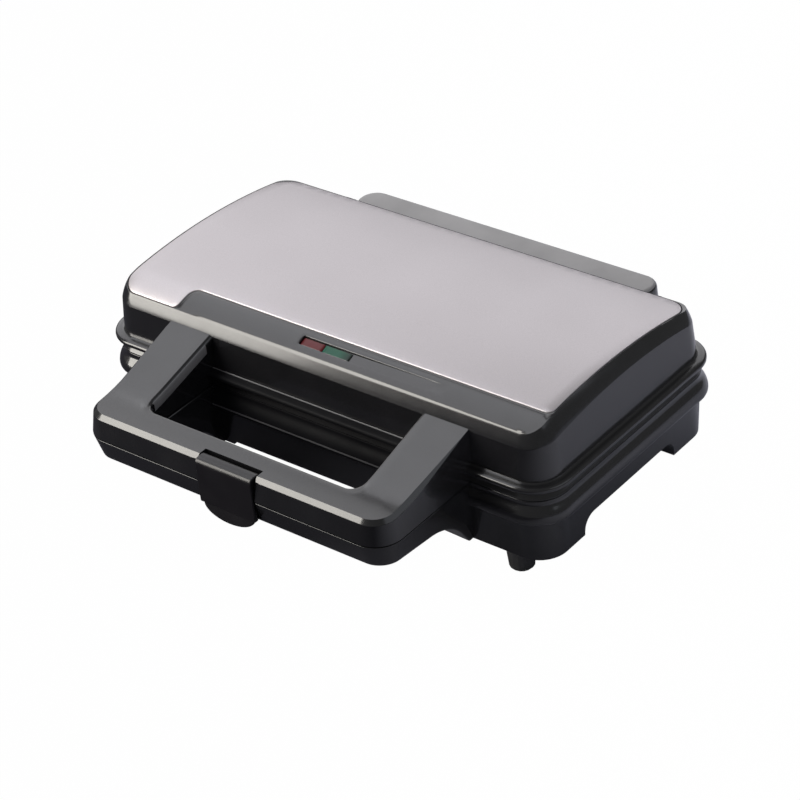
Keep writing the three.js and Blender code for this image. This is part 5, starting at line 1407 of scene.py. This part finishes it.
# Studio
# A pale floor that shows white to the camera, and four soft lights: behind left, upper left, a tall one at
# the front left and a weak fill at the right. The camera stands where the photograph was taken from.
FOCAL = 2731.411
FRAME_WIDTH = 800
SENSOR_WIDTH = 36
AZIMUTH = 41.536
ELEVATION = 33.725
ROLL = math.radians(-6.148)
AIM_RIGHT = 5.725
AIM_UP = 30.234
DISTANCE = 1303.12
TARGET = Vector((0.0, 75.0, 52.0))
NEAREST = 0.05
FARTHEST = 50


def direction_to(azimuth, elevation):
    """The direction, in degrees, to a place round the object: 0 is in front and 90 to its right."""
    azimuth, elevation = math.radians(azimuth), math.radians(elevation)
    level = math.cos(elevation)
    return Vector((math.sin(azimuth) * level, -math.cos(azimuth) * level, math.sin(elevation)))


def make_camera():
    """Aims at the target, turned by the roll, and steps aside so that the object lies as in the photo."""
    back = direction_to(AZIMUTH, ELEVATION)
    level = Vector((math.cos(math.radians(AZIMUTH)), math.sin(math.radians(AZIMUTH)), 0.0))
    upright = back.cross(level)
    right = level * math.cos(ROLL) + upright * math.sin(ROLL)
    up = -level * math.sin(ROLL) + upright * math.cos(ROLL)
    place = TARGET + back * DISTANCE - right * AIM_RIGHT - up * AIM_UP
    data = bpy.data.cameras.new("photo_camera")
    data.sensor_width = SENSOR_WIDTH
    data.lens = FOCAL * SENSOR_WIDTH / FRAME_WIDTH
    data.clip_start = NEAREST
    data.clip_end = FARTHEST
    camera = bpy.data.objects.new("photo_camera", data)
    matrix = Matrix((right, up, back)).transposed().to_4x4()
    matrix.translation = Vector((place.x, place.y + SHIFT, place.z)) * MM
    camera.matrix_world = matrix
    bpy.context.scene.collection.objects.link(camera)
    bpy.context.scene.camera = camera


make_camera()


# How white the floor is to the camera and through clear pieces, and how pale it is to reflections: painted
# light, its own colour dark in front and to the left and paler behind and to the right, blended along x plus
# y, so that glossy surfaces see it lit from behind and to the right.
FLOOR_GLOW = 0.994
FLOOR_DARK = (0.055, 0.055, 0.07, 1)
FLOOR_PALE = (0.76, 0.77, 0.88, 1)
BLEND_START = -0.1
BLEND_END = 0.25
FLOOR_HALF = 6.0
FLOOR_GAP = 0.0004


def combined(nodes, links, operation, first, second):
    """A math node of two values, each a socket or a number."""
    node = nodes.new("ShaderNodeMath")
    node.operation = operation
    for value, socket in ((first, node.inputs[0]), (second, node.inputs[1])):
        if isinstance(value, float):
            socket.default_value = value
        else:
            links.new(value, socket)
    return node.outputs[0]


def studio_floor():
    """A matte floor that glows white where a camera or transmission ray meets it."""
    material, nodes, links, shader, where = node_material("studio_floor")
    shader.inputs["Roughness"].default_value = 0.9
    shader.inputs["Specular IOR Level"].default_value = 0.0
    apart = nodes.new("ShaderNodeSeparateXYZ")
    links.new(where, apart.inputs["Vector"])
    # Painted light: the floor's colour grows paler along x plus y.
    across = combined(nodes, links, "ADD", apart.outputs["X"], apart.outputs["Y"])
    shade = spread(nodes, links, across, 0, 1, BLEND_START, BLEND_END)
    tint = nodes.new("ShaderNodeMix")
    tint.data_type = "RGBA"
    tint.inputs["A"].default_value = FLOOR_DARK
    tint.inputs["B"].default_value = FLOOR_PALE
    links.new(shade, tint.inputs["Factor"])
    links.new(tint.outputs["Result"], shader.inputs["Base Color"])
    path = nodes.new("ShaderNodeLightPath")
    glow = nodes.new("ShaderNodeEmission")
    glow.inputs["Color"].default_value = (1, 1, 1, 1)
    blend = nodes.new("ShaderNodeMixShader")
    rays = [path.outputs[name] for name in ("Is Camera Ray", "Is Transmission Ray")]
    white = combined(nodes, links, "MULTIPLY", combined(nodes, links, "MAXIMUM", *rays), FLOOR_GLOW)
    links.new(white, blend.inputs["Fac"])
    links.new(shader.outputs["BSDF"], blend.inputs[1])
    links.new(glow.outputs["Emission"], blend.inputs[2])
    links.new(blend.outputs["Shader"], nodes["Material Output"].inputs["Surface"])
    return material


def make_floor():
    bm = bmesh.new()
    bmesh.ops.create_grid(bm, x_segments=1, y_segments=1, size=FLOOR_HALF)
    mesh = bpy.data.meshes.new("floor")
    bm.to_mesh(mesh)
    bm.free()
    floor = bpy.data.objects.new("floor", mesh)
    floor.location.z = -FLOOR_GAP
    floor.data.materials.append(studio_floor())
    bpy.context.scene.collection.objects.link(floor)


make_floor()


def soft_light(name, azimuth, elevation, distance, size, power, colour):
    """A rectangular light aimed at the object: distance and width by height in metres, power in watts."""
    place = direction_to(azimuth, elevation) * distance
    data = bpy.data.lights.new(name, "AREA")
    data.shape = "RECTANGLE"
    data.size, data.size_y = size
    data.energy = power
    data.color = colour
    light = bpy.data.objects.new(name, data)
    light.location = place
    light.rotation_euler = place.to_track_quat("Z", "Y").to_euler()
    bpy.context.scene.collection.objects.link(light)


# The first two light the panel and the handle's top, the third makes the bright bevels, the last fills.
soft_light(
    "behind_left", azimuth=222, elevation=28.5, distance=1.9, size=(2.6, 1.25), power=8.9,
    colour=(0.97, 0.965, 1.0),
)
soft_light(
    "upper_left", azimuth=264, elevation=57.5, distance=1.6, size=(1.1, 0.68), power=3.1,
    colour=(0.95, 0.955, 1.0),
)
soft_light(
    "front_left", azimuth=-46, elevation=26, distance=1.5, size=(0.62, 1.6), power=20,
    colour=(1.0, 0.965, 0.9),
)
soft_light(
    "right_fill", azimuth=105, elevation=40, distance=1.8, size=(1.6, 1.0), power=2.4,
    colour=(0.86, 0.91, 1.0),
)

AIR_SEEN = 1.0
AIR_LIGHT = 0.15


def make_world():
    """White air to the camera, and a faint even light on the object."""
    world = bpy.data.worlds.new("studio_air")
    world.use_nodes = True
    nodes, links = world.node_tree.nodes, world.node_tree.links
    background = nodes["Background"]
    background.inputs["Color"].default_value = (1, 1, 1, 1)
    path = nodes.new("ShaderNodeLightPath")
    strength = spread(nodes, links, path.outputs["Is Camera Ray"], AIR_LIGHT, AIR_SEEN, 0, 1)
    links.new(strength, background.inputs["Strength"])
    bpy.context.scene.world = world


make_world()
bpy.context.scene.view_settings.view_transform = "Standard"
